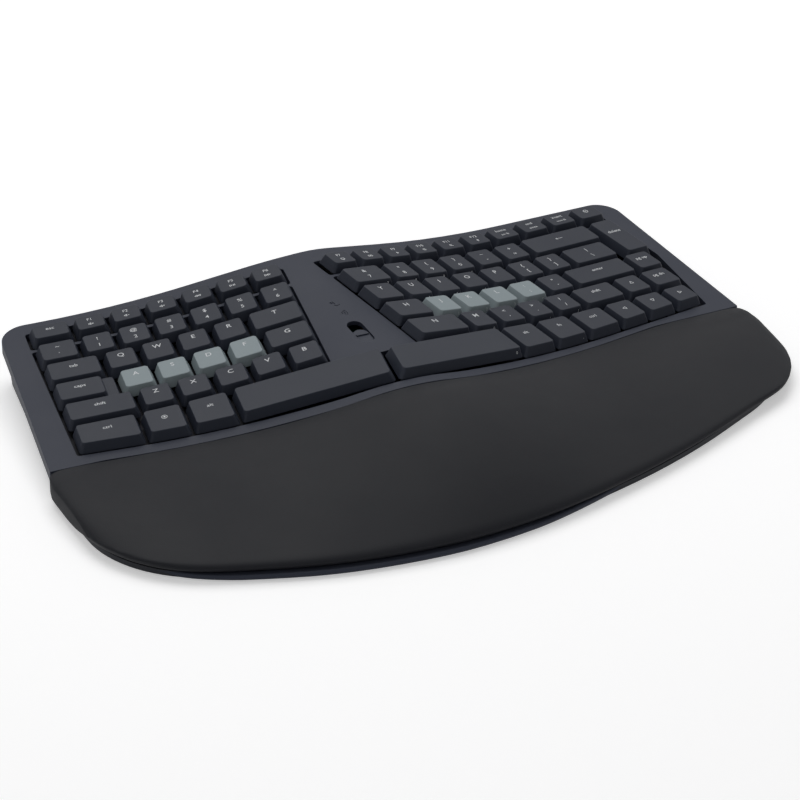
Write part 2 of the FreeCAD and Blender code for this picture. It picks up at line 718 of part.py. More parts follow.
# Space that one switch takes out of the key plate
def make_plate_cutter(key):
    around = 2 * HOLE_CLEARANCE
    low = key.plate_level - 3 * PLATE_THICKNESS
    high = key.plate_level + PLATE_THICKNESS
    depth = housing_depth(key, HOUSING_SIZE, SHORT_HOUSING_DEPTH) + around
    flange_depth = housing_depth(key, FLANGE_SIZE, SHORT_HOUSING_DEPTH) + around
    hole = box(HOUSING_SIZE + around, depth, low, high)
    seat = box(FLANGE_SIZE + around, flange_depth, key.plate_level, high)
    cutters = [hole, seat]
    guide = POST_SIZE + 2 * SEAT_GAP
    for offset in key.stabiliser_offsets():
        cutters.append(box(guide, guide, low, high, offset))
    if key.width > LONG_KEY * KEY_PITCH:
        outer = rounded_wire(inset_polygon(key.base(), [-2 * SEAT_GAP] * 4), [CAP_CORNER] * 4)
        inner = rounded_wire(inset_polygon(key.base(), [CAP_WALL + 3 * SEAT_GAP] * 4), [CAP_CORNER] * 4)
        bottom = -CAP_DEPTH - KEY_TRAVEL - 2 * SEAT_GAP
        cutters.append(prism(outer, bottom, 0).cut(prism(inner, bottom, 0)))
    return [key.place(cutter) for cutter in cutters]


def half_keys(keys, side):
    return [key for key in keys if key.side == side]


def field_ends(side):
    if side < 0:
        return LEFT_FIELD_END * KEY_PITCH, LEFT_FIELD_FRONT_END * KEY_PITCH
    return RIGHT_FIELD_END * KEY_PITCH, RIGHT_FIELD_FRONT_END * KEY_PITCH


# Outline of the strip well of the function row
def function_well(side, grow=0.0):
    margin = WELL_MARGIN + grow
    inner = WELL_INNER_MARGIN + grow
    front = FUNCTION_ROW - FUNCTION_KEY_DEPTH / 2 - margin
    back = FUNCTION_ROW + FUNCTION_KEY_DEPTH / 2 + margin
    end = field_ends(side)[0] + margin
    corners = [
        grid_point(side, -inner, front),
        grid_point(side, -inner, back),
        grid_point(side, end, back),
        grid_point(side, end, front),
    ]
    return rounded_wire(corners, [WELL_CORNER] * 4)


# Outline of the large well, which passes in front of the centre wedge
def main_well(grow=0.0):
    margin = WELL_MARGIN + grow
    inner = WELL_INNER_MARGIN + grow
    number_back = NUMBER_ROW + (KEY_PITCH - KEY_GAP) / 2
    back = number_back + margin
    space_back = number_back - len(ROW_ORDER) * KEY_PITCH - BOTTOM_ROW_EXTRA_GAP + margin
    delete_front = number_back - 2 * KEY_PITCH
    left_end, left_front_end = field_ends(-1)
    right_end, right_front_end = field_ends(1)
    left_front = grid_point(-1, left_front_end + margin, grid_front(-1, left_front_end + margin, -grow))
    right_front = grid_point(1, right_front_end + margin, grid_front(1, right_front_end + margin, -grow))
    wedge_y = grid_point(1, -inner, space_back)[1]
    corners = [
        grid_point(-1, left_end + margin, back),
        left_front,
        (0.0, WELL_FRONT_MIDDLE - grow),
        right_front,
        grid_point(1, right_end + margin, delete_front),
        grid_point(1, right_end + margin, back),
        grid_point(1, -inner, back),
        grid_point(1, -inner, space_back),
        (0.0, wedge_y - WEDGE_ROUNDING),
        grid_point(-1, -inner, space_back),
        grid_point(-1, -inner, back),
    ]
    radii = [WELL_CORNER] * len(corners)
    radii[2] = WELL_FRONT_RADIUS
    radii[4] = WELL_SIDE_RADIUS
    return rounded_wire(corners, radii)


def slot_wire(grow, z=0.0):
    x, y = SLOT_CENTRE
    half_width = SLOT_WIDTH / 2 + grow
    half_length = SLOT_LENGTH / 2 + grow
    corners = [
        (x - half_width, y - half_length),
        (x + half_width, y - half_length),
        (x + half_width, y + half_length),
        (x - half_width, y + half_length),
    ]
    return rounded_wire(corners, [half_width - 0.01] * 4, z)


# Signs engraved beside the mode slot: a plug on its cable, and radio waves
def make_signs():
    surface = surface_height(SLOT_CENTRE[0]) - DECK_DROP
    bottom = surface - ENGRAVING_DEPTH
    top = surface + 1
    x = SLOT_CENTRE[0]
    width, depth = PLUG_SIGN_SIZE
    prong_y = CABLE_SIGN_Y + (depth + PRONG_LENGTH) / 2
    signs = [box(width, depth, bottom, top, x + PLUG_SIGN_X, CABLE_SIGN_Y)]
    for side in (-1, 1):
        prong_x = x + PLUG_SIGN_X + side * PRONG_SPACING / 2
        signs.append(box(PRONG_WIDTH, PRONG_LENGTH, bottom, top, prong_x, prong_y))
    centre = (x + LOOP_SIGN_X, CABLE_SIGN_Y - LOOP_RADIUS + ENGRAVING_WIDTH / 2)
    signs.append(engraved_arc(centre, LOOP_RADIUS, 180, 180, bottom, top))
    wave_centre = (x + WAVE_SIGN_X, WAVES_SIGN_Y)
    for radius in WAVE_RADII:
        signs.append(engraved_arc(wave_centre, radius, -WAVE_ANGLE / 2, WAVE_ANGLE, bottom, top))
    return signs


# Groove along an arc from a start angle over a sweep, both in degrees
def engraved_arc(centre, radius, start, sweep, bottom, top):
    middle = V(centre[0], centre[1], bottom)
    ring = Part.makeCylinder(radius, top - bottom, middle, V(0, 0, 1), sweep)
    ring = ring.cut(Part.makeCylinder(radius - ENGRAVING_WIDTH, top - bottom, middle))
    ring.rotate(middle, V(0, 0, 1), start)
    return ring


# Opening for the cable socket, in the deck frame, through the back wall
def socket_opening(grow):
    width = SOCKET_WIDTH + 2 * grow
    low = -CONTROLLER_DROP - grow
    high = -CONTROLLER_DROP + SOCKET_HEIGHT + grow
    return box(width, CREST_HEIGHT, low, high, 0.0, CONTROLLER_BACK + CREST_HEIGHT / 2)


def make_top_deck():
    wall_bottom = DECK_DROP + SKIRT_DEPTH
    well_bottom = PLATE_DROP - SEAT_GAP
    outer = prism(DECK_WIRE, 0, 2 * CREST_HEIGHT)
    inner = prism(inset(DECK_WIRE, DECK_WALL), 0, 2 * CREST_HEIGHT)
    sheet = tilt(bent_slab(DECK_DROP, DECK_DROP + DECK_THICKNESS)).common(outer)
    skirt = tilt(bent_slab(DECK_DROP, wall_bottom)).common(outer.cut(inner))
    depth = 2 * REACH
    wells = [main_well(), function_well(-1), function_well(1)]
    rims = [main_well(WELL_WALL), function_well(-1, WELL_WALL), function_well(1, WELL_WALL)]
    holes = [prism(w, -depth / 2, depth / 2) for w in wells]
    collars = [prism(w, -depth / 2, depth / 2) for w in rims]
    collar = collars[0].multiFuse(collars[1:]).common(bent_slab(DECK_DROP + DECK_THICKNESS / 2, well_bottom))
    posts = []
    for y in POST_PLACES:
        length = CONTROLLER_DROP - DECK_DROP - DECK_THICKNESS / 2 - FASTENER_GAP
        post = Part.makeCylinder(POST_RADIUS, length, V(0, y, FASTENER_GAP - CONTROLLER_DROP))
        hole_radius = SCREW_RADIUS + SCREW_CLEARANCE
        hole = Part.makeCylinder(hole_radius, BOARD_SCREW_LENGTH, V(0, y, -CONTROLLER_DROP))
        posts.append(tilt(post.cut(hole)))
    below_deck = tilt(bent_slab(DECK_DROP + DECK_THICKNESS / 2, REACH))
    for x, y in DECK_SCREW_PLACES:
        post = Part.makeCylinder(DECK_POST_RADIUS, CREST_HEIGHT, V(x, y, PAD_HEIGHT + CASE_FLOOR + SEAT_GAP))
        hole = Part.makeCylinder(SCREW_RADIUS + SCREW_CLEARANCE, SCREW_LENGTH, V(x, y, 0))
        posts.append(post.common(below_deck).cut(hole))
    deck = sheet.multiFuse([skirt, tilt(collar).common(outer)] + posts)
    slot = prism(slot_wire(0), -DECK_DROP - 2 * DECK_THICKNESS, 0)
    cutters = [tilt(s) for s in holes + [slot, socket_opening(SOCKET_OPENING_MARGIN)] + make_signs()]
    return deck.cut(Part.makeCompound(cutters)).removeSplitter()


# Knob, flange and peg of the mode switch; at rest the knob stands at the near end of its slot
def make_mode_slider():
    x, y = SLOT_CENTRE
    top = -DECK_DROP - KNOB_BELOW_DECK
    flange_top = -DECK_DROP - DECK_THICKNESS - SEAT_GAP
    half_width = SLOT_WIDTH / 2 - SLOT_LIP
    half_length = KNOB_LENGTH / 2
    knob_y = y - SLOT_LENGTH / 2 + SLOT_LIP + half_length
    corners = [
        (x - half_width, knob_y - half_length),
        (x + half_width, knob_y - half_length),
        (x + half_width, knob_y + half_length),
        (x - half_width, knob_y + half_length),
    ]
    knob = prism(rounded_wire(corners, [half_width - 0.01] * 4), flange_top, top)
    flange_width = SLOT_WIDTH + 2 * SLIDER_FLANGE_MARGIN
    flange_length = KNOB_LENGTH + 2 * SLIDER_FLANGE_MARGIN
    flange = box(flange_width, flange_length, flange_top - SLIDER_FLANGE_THICKNESS, flange_top, x, knob_y)
    ridge_width = 2 * (half_width - RIDGE_MARGIN)
    ridge = box(ridge_width, RIDGE_LENGTH, top, top + RIDGE_HEIGHT, x, knob_y + RIDGE_OFFSET)
    peg_top = flange_top - SLIDER_FLANGE_THICKNESS
    peg = box(PEG_SIZE, PEG_SIZE, peg_top - PEG_LENGTH, peg_top, x, knob_y)
    slider = knob.multiFuse([flange, ridge, peg]).removeSplitter()
    return tilt(slider), knob_y


def make_mode_switch(knob_y):
    x = SLOT_CENTRE[0]
    top = -DECK_DROP - DECK_THICKNESS - 2 * SEAT_GAP - SLIDER_FLANGE_THICKNESS
    groove_width = PEG_SIZE + 2 * SLOT_LIP
    groove_length = PEG_SIZE + 2 * SLOT_LIP + SLIDER_TRAVEL
    middle = knob_y + SLIDER_TRAVEL / 2
    around = 2 * SWITCH_BODY_WALL
    body = box(groove_width + around, groove_length + around, -CONTROLLER_DROP, top, x, middle)
    groove = box(groove_width, groove_length, top - PEG_LENGTH - SEAT_GAP, top, x, middle)
    return tilt(body.cut(groove))


def make_controller():
    board = Part.makeBox(
        2 * CONTROLLER_HALF_WIDTH,
        CONTROLLER_BACK - CONTROLLER_FRONT,
        CONTROLLER_THICKNESS,
        V(-CONTROLLER_HALF_WIDTH, CONTROLLER_FRONT, -CONTROLLER_DROP - CONTROLLER_THICKNESS),
    )
    for y in POST_PLACES:
        start = V(0, y, -CONTROLLER_DROP - 2 * CONTROLLER_THICKNESS)
        board = board.cut(Part.makeCylinder(SCREW_RADIUS + SCREW_CLEARANCE, 3 * CONTROLLER_THICKNESS, start))
    return tilt(board)


def make_board_screws():
    screws = []
    underside = -CONTROLLER_DROP - CONTROLLER_THICKNESS - FASTENER_GAP
    for y in POST_PLACES:
        head = Part.makeCylinder(SCREW_HEAD_RADIUS, SCREW_HEAD_HEIGHT, V(0, y, underside - SCREW_HEAD_HEIGHT))
        shaft = Part.makeCylinder(SCREW_RADIUS, BOARD_SCREW_LENGTH, V(0, y, underside))
        screws.append(tilt(head.fuse(shaft)))
    return screws


# Socket on the controller board, open to the back
def make_socket():
    half = SOCKET_WIDTH / 2
    wall = SOCKET_WALL
    outline = [(-half, 0.0), (half, 0.0), (half, SOCKET_HEIGHT), (-half, SOCKET_HEIGHT)]
    shell = prism(rounded_wire(outline, [SOCKET_CORNER] * 4), 0, SOCKET_DEPTH)
    hollow = rounded_wire(inset_polygon(outline, [wall] * 4), [SOCKET_CORNER - wall] * 4)
    cavity = prism(hollow, 0, SOCKET_DEPTH - SOCKET_BACK)
    tongue = box(half, SOCKET_TONGUE, SOCKET_BACK, SOCKET_DEPTH, 0.0, SOCKET_HEIGHT / 2)
    socket = shell.cut(cavity).fuse(tongue).removeSplitter()
    socket.rotate(V(0, 0, 0), V(1, 0, 0), 90)
    socket.translate(V(0, SOCKET_FACE, FASTENER_GAP - CONTROLLER_DROP))
    return tilt(socket)


# Plan of the steel plate and of the circuit board under one half
def sheet_wire(side):
    end, front_end = field_ends(side)
    margin = PLATE_MARGIN + WELL_MARGIN
    back = FUNCTION_ROW + FUNCTION_KEY_DEPTH / 2 + margin
    number_back = NUMBER_ROW + (KEY_PITCH - KEY_GAP) / 2
    space_back = number_back - len(ROW_ORDER) * KEY_PITCH
    inner_front = (side * PLATE_MIDDLE_GAP, well_front(PLATE_MIDDLE_GAP) - PLATE_MARGIN)
    outer_front = grid_point(side, front_end + margin, grid_front(side, front_end + margin, -PLATE_MARGIN))
    corners = [
        grid_point(side, -PLATE_INNER_MARGIN, back),
        grid_point(side, end + margin, back),
        grid_point(side, end + margin, number_back - 2 * KEY_PITCH),
        outer_front,
        inner_front,
        (side * PLATE_MIDDLE_GAP, space_back),
        grid_point(side, -PLATE_INNER_MARGIN, space_back),
    ]
    if side > 0:
        corners.reverse()
    return rounded_wire(corners, [WELL_CORNER] * len(corners))


# A sheet trimmed to the inside of the tray and round the posts of the deck
def clear_of_case(sheet):
    posts = []
    for x, y in DECK_SCREW_PLACES:
        posts.append(Part.makeCylinder(DECK_POST_RADIUS + SEAT_GAP, CREST_HEIGHT, V(x, y, 0)))
    return sheet.common(tray(CASE_WALL + SEAT_GAP, 0)).cut(Part.makeCompound(posts))


def make_key_plate(keys, side):
    outline = prism(sheet_wire(side), -REACH, REACH)
    plate = bent_slab(PLATE_DROP, PLATE_DROP + PLATE_THICKNESS).common(outline)
    cutters = []
    for key in half_keys(keys, side):
        cutters += make_plate_cutter(key)
    return clear_of_case(tilt(plate.cut(Part.makeCompound(cutters))))


def make_circuit_board(side):
    outline = prism(sheet_wire(side), -REACH, REACH)
    return clear_of_case(tilt(bent_slab(BOARD_DROP, BOARD_DROP + BOARD_THICKNESS).common(outline)))


# Flat cables from the two key boards to the controller, each flat on its board's underside
def make_ribbons():
    ribbons = []
    top = -CONTROLLER_DROP - CONTROLLER_THICKNESS - FASTENER_GAP
    board_underside = BOARD_DROP + BOARD_THICKNESS
    for side in (-1, 1):
        knee_x = RIBBON_OUTER - RIBBON_KNEE_REACH
        start = V(side * (CONTROLLER_HALF_WIDTH - RIBBON_LAP), RIBBON_Y, top)
        edge = V(side * CONTROLLER_HALF_WIDTH, RIBBON_Y, top - RIBBON_SAG)
        knee = V(side * knee_x, RIBBON_Y, surface_height(knee_x) - board_underside - RIBBON_KNEE_DROP)
        end_z = surface_height(RIBBON_OUTER) - board_underside - RIBBON_END_DROP
        end = V(side * RIBBON_OUTER, RIBBON_Y, end_z)
        drop = V(0, 0, -RIBBON_THICKNESS)
        points = [start, edge, knee, end]
        lower = [p + drop for p in reversed(points)]
        wire = Part.makePolygon(points + lower + [start])
        ribbon = Part.Face(wire).extrude(V(0, RIBBON_WIDTH, 0))
        ribbons.append(tilt(ribbon))
    return ribbons


def make_battery():
    length, width, height = BATTERY_SIZE
    bottom = PAD_HEIGHT + CASE_FLOOR + FASTENER_GAP
    pack = box(length, width, bottom, bottom + height, *BATTERY_MIDDLE)
    edges = [e for e in pack.Edges if abs(e.Curve.Direction.x) > 0.9]
    return pack.makeFillet(BATTERY_EDGE, edges)


# Front and back of a plan face along a line of constant x
def span(face, x):
    line = Part.LineSegment(V(x, -REACH, 0), V(x, REACH, 0)).toShape()
    bounds = face.common(line).BoundBox
    return bounds.YMin, bounds.YMax


# Stations across the palm rest, closer together towards both ends
def stations(left, right, count):
    middle = (left + right) / 2
    half = (right - left) / 2
    return [middle + half * sin(pi * (i / (count - 1) - 0.5)) for i in range(count)]


# Soft pad: rolls over at the seam, swells to a crown, falls to a rounded nose and tucks in to the rim
def make_palm_cushion():
    back_gap = inset(PALM_WIRE, SEAT_GAP)
    face = Part.Face(back_gap)
    rim_face = Part.Face(RIM_WIRE)
    bounds = back_gap.BoundBox
    low_z = RIM_HEIGHT + SEAT_GAP
    sections = []
    for x in stations(bounds.XMin + CUSHION_END_MARGIN, bounds.XMax - CUSHION_END_MARGIN, CUSHION_STATIONS):
        front, back = span(face, x)
        from_end = min(x - bounds.XMin, bounds.XMax - x)
        rounding = 1.0
        if from_end < CUSHION_END_ROUND:
            out = 1 - from_end / CUSHION_END_ROUND
            rounding = CUSHION_END_SHARE + (1 - CUSHION_END_SHARE) * sqrt(1 - out**2)
        seam_z = low_z + (deck_height(x, back, DECK_DROP) - low_z) * rounding
        height = seam_z - low_z
        depth = back - front
        nose_z = low_z + min(CUSHION_NOSE, CUSHION_NOSE_SHARE * height)
        crown_y = back - min(CUSHION_ROLL, CUSHION_ROLL_SHARE * depth)
        crown_z = seam_z + CUSHION_LIFT * min(1.0, height / CUSHION_FULL_LIFT_HEIGHT)
        roll_y = (back + crown_y) / 2
        roll_z = (seam_z + crown_z) / 2 + CUSHION_LIFT / 4
        chord = crown_z - nose_z
        belly_y = crown_y + CUSHION_BELLY_PLACE * (front - crown_y)
        belly_z = crown_z + (CUSHION_BULGE - CUSHION_BELLY_PLACE) * chord + CUSHION_BELLY_RISE
        low_y = front + CUSHION_TUCK_SHARE * depth
        if from_end > RIM_INSET:
            low_y = min(low_y, span(rim_face, x)[0])
        low_front = V(x, low_y, low_z)
        seam_point = V(x, back, seam_z)
        crown = V(x, crown_y, crown_z)
        nose = V(x, front, nose_z)
        low_back = V(x, back, low_z)
        tuck = V(x, (low_y + front) / 2 - CUSHION_TUCK_ROUND, (nose_z + low_z) / 2 - CUSHION_TUCK_ROUND)
        edges = [
            Part.LineSegment(low_back, seam_point).toShape(),
            Part.Arc(seam_point, V(x, roll_y, roll_z), crown).toShape(),
            Part.Arc(crown, V(x, belly_y, belly_z), nose).toShape(),
            Part.Arc(nose, tuck, low_front).toShape(),
            Part.LineSegment(low_front, low_back).toShape(),
        ]
        sections.append(Part.Wire(edges))
    pad = Part.makeLoft(sections, True, False)
    below = box(2 * REACH, 2 * REACH, -1, low_z)
    behind = prism(inset(DECK_WIRE, -SEAT_GAP), 0, 2 * CREST_HEIGHT)
    return pad.cut(Part.makeCompound([below, behind, bed(0.0)]))


# Wedge that fills the middle of the palm rest under the pad, its sides moved in by a distance
def bed(wall):
    face = Part.Face(PALM_WIRE)
    bounds = PALM_WIRE.BoundBox
    sections = []
    for x in stations(bounds.XMin + SUPPORT_END_MARGIN, bounds.XMax - SUPPORT_END_MARGIN, SUPPORT_STATIONS):
        front, back = span(face, x)
        low_back = deck_height(x, back, DECK_DROP) - CUSHION_PAD
        slope = (low_back - SUPPORT_FRONT_HEIGHT) / (back - front)
        y0 = front + SUPPORT_FRONT_MARGIN + wall
        y1 = back - SUPPORT_BACK_MARGIN - wall
        z0 = low_back + slope * (y0 - back) - wall
        z1 = low_back + slope * (y1 - back) - wall
        points = [V(x, y0, 0), V(x, y0, z0), V(x, y1, z1), V(x, y1, 0)]
        sections.append(Part.makePolygon(points + [points[0]]))
    return Part.makeLoft(sections, True, True)


# Hard hollow form that carries the thick part of the cushion
def make_palm_support():
    floor = PAD_HEIGHT + CASE_FLOOR + FASTENER_GAP
    ends = PALM_WIRE.BoundBox
    left = ends.XMin + SUPPORT_END_MARGIN + SEAT_GAP
    right = ends.XMax - SUPPORT_END_MARGIN - SEAT_GAP
    block = Part.makeBox(right - left, 2 * REACH, REACH, V(left, -REACH, floor)).common(bed(SEAT_GAP))
    hollow_length = right - left - 2 * SUPPORT_WALL
    hollow = Part.makeBox(hollow_length, 2 * REACH, REACH, V(left + SUPPORT_WALL, -REACH, 0))
    support = block.cut(hollow.common(bed(SEAT_GAP + SUPPORT_WALL)))
    columns = []
    for x, y in SUPPORT_SCREW_PLACES:
        columns.append(Part.makeCylinder(POST_RADIUS, CREST_HEIGHT, V(x, y, floor)).common(block))
    holes = []
    for x, y in SUPPORT_SCREW_PLACES:
        holes.append(Part.makeCylinder(SCREW_RADIUS + SCREW_CLEARANCE, SCREW_LENGTH, V(x, y, 0)))
    notches = [foot_housing(x, y, SEAT_GAP) for x, y in FOOT_PLACES]
    return support.multiFuse(columns).cut(Part.makeCompound(holes + notches)).removeSplitter()


# Block of the bottom case around a fold-out foot
def foot_housing(x, y, grow):
    width = FOOT_LENGTH + 2 * FOOT_EAR + 2 * grow
    length = FOOT_REACH + 2 * FOOT_EAR + 2 * grow
    roof = FOOT_HINGE_HEIGHT + FOOT_THICKNESS / 2 + FOOT_GAP + FOOT_RECESS_ROOF + grow
    return box(width, length, PAD_HEIGHT, roof, x, y + FOOT_REACH / 2)


# Screws from below into the palm support and the posts of the deck
def make_case_screws():
    screws = []
    shaft_length = SCREW_LENGTH - PAD_HEIGHT - SCREW_END_GAP
    for x, y in SUPPORT_SCREW_PLACES + DECK_SCREW_PLACES:
        head = Part.makeCylinder(SCREW_HEAD_RADIUS, SCREW_HEAD_HEIGHT, V(x, y, PAD_HEIGHT))
        shaft = Part.makeCylinder(SCREW_RADIUS, shaft_length, V(x, y, PAD_HEIGHT))
        screws.append(head.fuse(shaft))
    return screws


# Tray under the deck, drawn in towards the desk, its sides moved in by a distance
def tray(wall, bottom):
    top_inset = DECK_WALL + SEAT_GAP + wall
    low = deck_outline(CASE_UNDERCUT + wall, top_inset)
    high = deck_outline(top_inset, top_inset)
    low.translate(V(0, 0, bottom))
    high.translate(V(0, 0, UNDERCUT_TOP))
    lower = Part.makeLoft([low, high], True, True)
    return lower.fuse(prism(high, UNDERCUT_TOP, 2 * CREST_HEIGHT))


def make_bottom_case():
    floor_top = PAD_HEIGHT + CASE_FLOOR
    below_deck = tilt(bent_slab(DECK_DROP + DECK_THICKNESS + SEAT_GAP, REACH))
    below_boards = tilt(bent_slab(BOARD_DROP + BOARD_THICKNESS + SEAT_GAP, REACH))
    tub = tray(0.0, PAD_HEIGHT).cut(tray(CASE_WALL, floor_top)).common(below_deck)
    rim_inside = prism(inset(RIM_WIRE, CASE_WALL), floor_top, RIM_HEIGHT)
    rim = prism(RIM_WIRE, PAD_HEIGHT, RIM_HEIGHT).cut(rim_inside)
    bridge = prism(deck_outline(CASE_UNDERCUT, -RIM_INSET - CASE_WALL), PAD_HEIGHT, floor_top)
    columns = []
    for x, y in COLUMN_PLACES:
        column = Part.makeCylinder(COLUMN_RADIUS, CREST_HEIGHT, V(x, y, PAD_HEIGHT))
        columns.append(column.common(below_boards))
    housings = [foot_housing(x, y, 0.0) for x, y in FOOT_PLACES]
    case = tub.multiFuse([rim, bridge] + columns + housings)
    cutters = [tilt(socket_opening(SOCKET_OPENING_MARGIN))]
    room = WELL_WALL + SEAT_GAP
    around_wells = bent_slab(0, PLATE_DROP + PLATE_THICKNESS)
    for well in (main_well(room), function_well(-1, room), function_well(1, room)):
        cutters.append(tilt(prism(well, -REACH, REACH).common(around_wells)))
    for x, y in FOOT_PLACES:
        recess_front = y - FOOT_THICKNESS / 2 - FOOT_GAP
        recess_back = y + FOOT_REACH + FOOT_GAP
        recess_top = FOOT_HINGE_HEIGHT + FOOT_THICKNESS / 2 + FOOT_GAP
        recess_width = FOOT_LENGTH + 2 * FOOT_GAP
        middle = (recess_front + recess_back) / 2
        cutters.append(box(recess_width, recess_back - recess_front, 0, recess_top, x, middle))
        cutters.append(foot_pin(x, y, FASTENER_GAP))
    for x, y in SUPPORT_SCREW_PLACES + DECK_SCREW_PLACES:
        cutters.append(Part.makeCylinder(SCREW_RADIUS + SCREW_CLEARANCE, SCREW_LENGTH, V(x, y, 0)))
        head_depth = PAD_HEIGHT + SCREW_HEAD_HEIGHT + FASTENER_GAP
        cutters.append(Part.makeCylinder(SCREW_HEAD_RADIUS + SCREW_CLEARANCE, head_depth, V(x, y, 0)))
    seat_height = PAD_SINK + PAD_HEIGHT + FASTENER_GAP
    for x, y in PAD_PLACES:
        cutters.append(Part.makeCylinder(PAD_RADIUS + FASTENER_GAP, seat_height, V(x, y, 0)))
    return case.cut(Part.makeCompound(cutters)).removeSplitter()


def make_rubber_feet():
    return [Part.makeCylinder(PAD_RADIUS, PAD_HEIGHT + PAD_SINK, V(x, y, 0)) for x, y in PAD_PLACES]


def make_tilt_foot(x, y):
    left = x - FOOT_LENGTH / 2
    start = V(left, y, FOOT_HINGE_HEIGHT)
    barrel = Part.makeCylinder(FOOT_THICKNESS / 2, FOOT_LENGTH, start, V(1, 0, 0))
    low = FOOT_HINGE_HEIGHT - FOOT_THICKNESS / 2
    blade = Part.makeBox(FOOT_LENGTH, FOOT_REACH, FOOT_THICKNESS, V(left, y, low))
    bore = Part.makeCylinder(FOOT_PIN_RADIUS + FOOT_PIN_CLEARANCE, FOOT_LENGTH, start, V(1, 0, 0))
    return barrel.fuse(blade).removeSplitter().cut(bore)


def foot_pin(x, y, grow):
    length = FOOT_LENGTH + FOOT_EAR + 2 * grow
    start = V(x - length / 2, y, FOOT_HINGE_HEIGHT)
    return Part.makeCylinder(FOOT_PIN_RADIUS + grow, length, start, V(1, 0, 0))


def write(node, shapes):
    moved = []
    for shape in shapes:
        for solid in shape.Solids:
            solid = solid.copy()
            solid.translate(V(-ORIGIN.x, -ORIGIN.y, 0))
            moved.append(solid)
    result = moved[0] if len(moved) == 1 else Part.makeCompound(moved)
    result.exportStep("parts/" + node + ".step")
    print(node, len(moved), round(result.Volume / 1000, 2), result.isValid())


def main():
    os.makedirs("parts", exist_ok=True)
    keys = make_keys()
    nodes = {}
    for key in keys:
        pieces = [make_cap(key), make_stem(key)] + make_posts(key)
        nodes.setdefault(key.node, []).extend(tilt(key.place(piece)) for piece in pieces)
    for node, shapes in nodes.items():
        write(node, shapes)
    for side, name in ((-1, "left"), (1, "right")):
        half = half_keys(keys, side)
        write(name + "_switch_housings", [tilt(key.place(make_housing(key))) for key in half])
        write(name + "_key_plate", [make_key_plate(keys, side)])
        write(name + "_circuit_board", [make_circuit_board(side)])
    write("switch_springs", [tilt(key.place(make_spring(key))) for key in keys])
    wide = [key for key in keys if key.stabiliser_offsets()]
    write("stabiliser_wires", [tilt(key.place_on_sheet(make_wire(key))) for key in wide])
    slider, knob_y = make_mode_slider()
    write("mode_slider", [slider])
    write("mode_switch_body", [make_mode_switch(knob_y)])
    write("controller_board", [make_controller()])
    write("board_screws", make_board_screws())
    write("cable_socket", [make_socket()])
    write("ribbon_cables", make_ribbons())
    write("battery_pack", [make_battery()])
    write("top_deck", [make_top_deck()])
    write("palm_cushion", [make_palm_cushion()])
    write("palm_support", [make_palm_support()])
    write("bottom_case", [make_bottom_case()])
    write("case_screws", make_case_screws())
    write("rubber_feet", make_rubber_feet())
    for name, place in zip(("left_tilt_foot", "right_tilt_foot"), FOOT_PLACES):
        write(name, [make_tilt_foot(*place)])
    write("foot_hinge_pins", [foot_pin(x, y, 0.0) for x, y in FOOT_PLACES])


main()
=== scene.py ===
"""Looks of the ergonomic keyboard: keys, legends, deck, palm cushion, inner parts and stage."""

import json
import math

import bmesh
import bpy
import numpy as np
from mathutils import Matrix, Vector
from mathutils.bvhtree import BVHTree

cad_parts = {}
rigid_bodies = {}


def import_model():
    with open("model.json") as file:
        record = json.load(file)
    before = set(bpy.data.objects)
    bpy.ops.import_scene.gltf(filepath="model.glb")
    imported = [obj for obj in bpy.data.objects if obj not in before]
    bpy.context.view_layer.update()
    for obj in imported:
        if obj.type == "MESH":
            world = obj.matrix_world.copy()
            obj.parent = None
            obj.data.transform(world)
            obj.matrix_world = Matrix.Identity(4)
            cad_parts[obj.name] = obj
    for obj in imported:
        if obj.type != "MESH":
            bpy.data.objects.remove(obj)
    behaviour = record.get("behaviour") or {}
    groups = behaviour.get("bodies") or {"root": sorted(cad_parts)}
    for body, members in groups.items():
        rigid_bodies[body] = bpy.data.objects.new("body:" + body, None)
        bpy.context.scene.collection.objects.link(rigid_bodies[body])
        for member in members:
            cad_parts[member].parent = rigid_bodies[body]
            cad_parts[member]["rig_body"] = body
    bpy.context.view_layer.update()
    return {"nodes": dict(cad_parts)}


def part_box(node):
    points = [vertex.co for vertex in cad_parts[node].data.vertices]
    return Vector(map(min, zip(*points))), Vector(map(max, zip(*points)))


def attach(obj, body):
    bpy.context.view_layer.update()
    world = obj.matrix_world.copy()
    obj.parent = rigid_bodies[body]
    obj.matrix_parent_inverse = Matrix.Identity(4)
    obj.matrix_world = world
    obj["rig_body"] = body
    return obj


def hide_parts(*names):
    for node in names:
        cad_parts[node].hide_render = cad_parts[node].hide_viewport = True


bl_info = {
    "name": "Ergonomic Keyboard Looks",
    "version": (1, 0, 0),
    "blender": (4, 5, 0),
    "location": "View3D > Sidebar > Keyboard",
    "description": "Dresses the ergonomic keyboard and sets its stage",
    "category": "Object",
}

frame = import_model()
MM = 0.001
SPLIT_X = -21.15 * MM

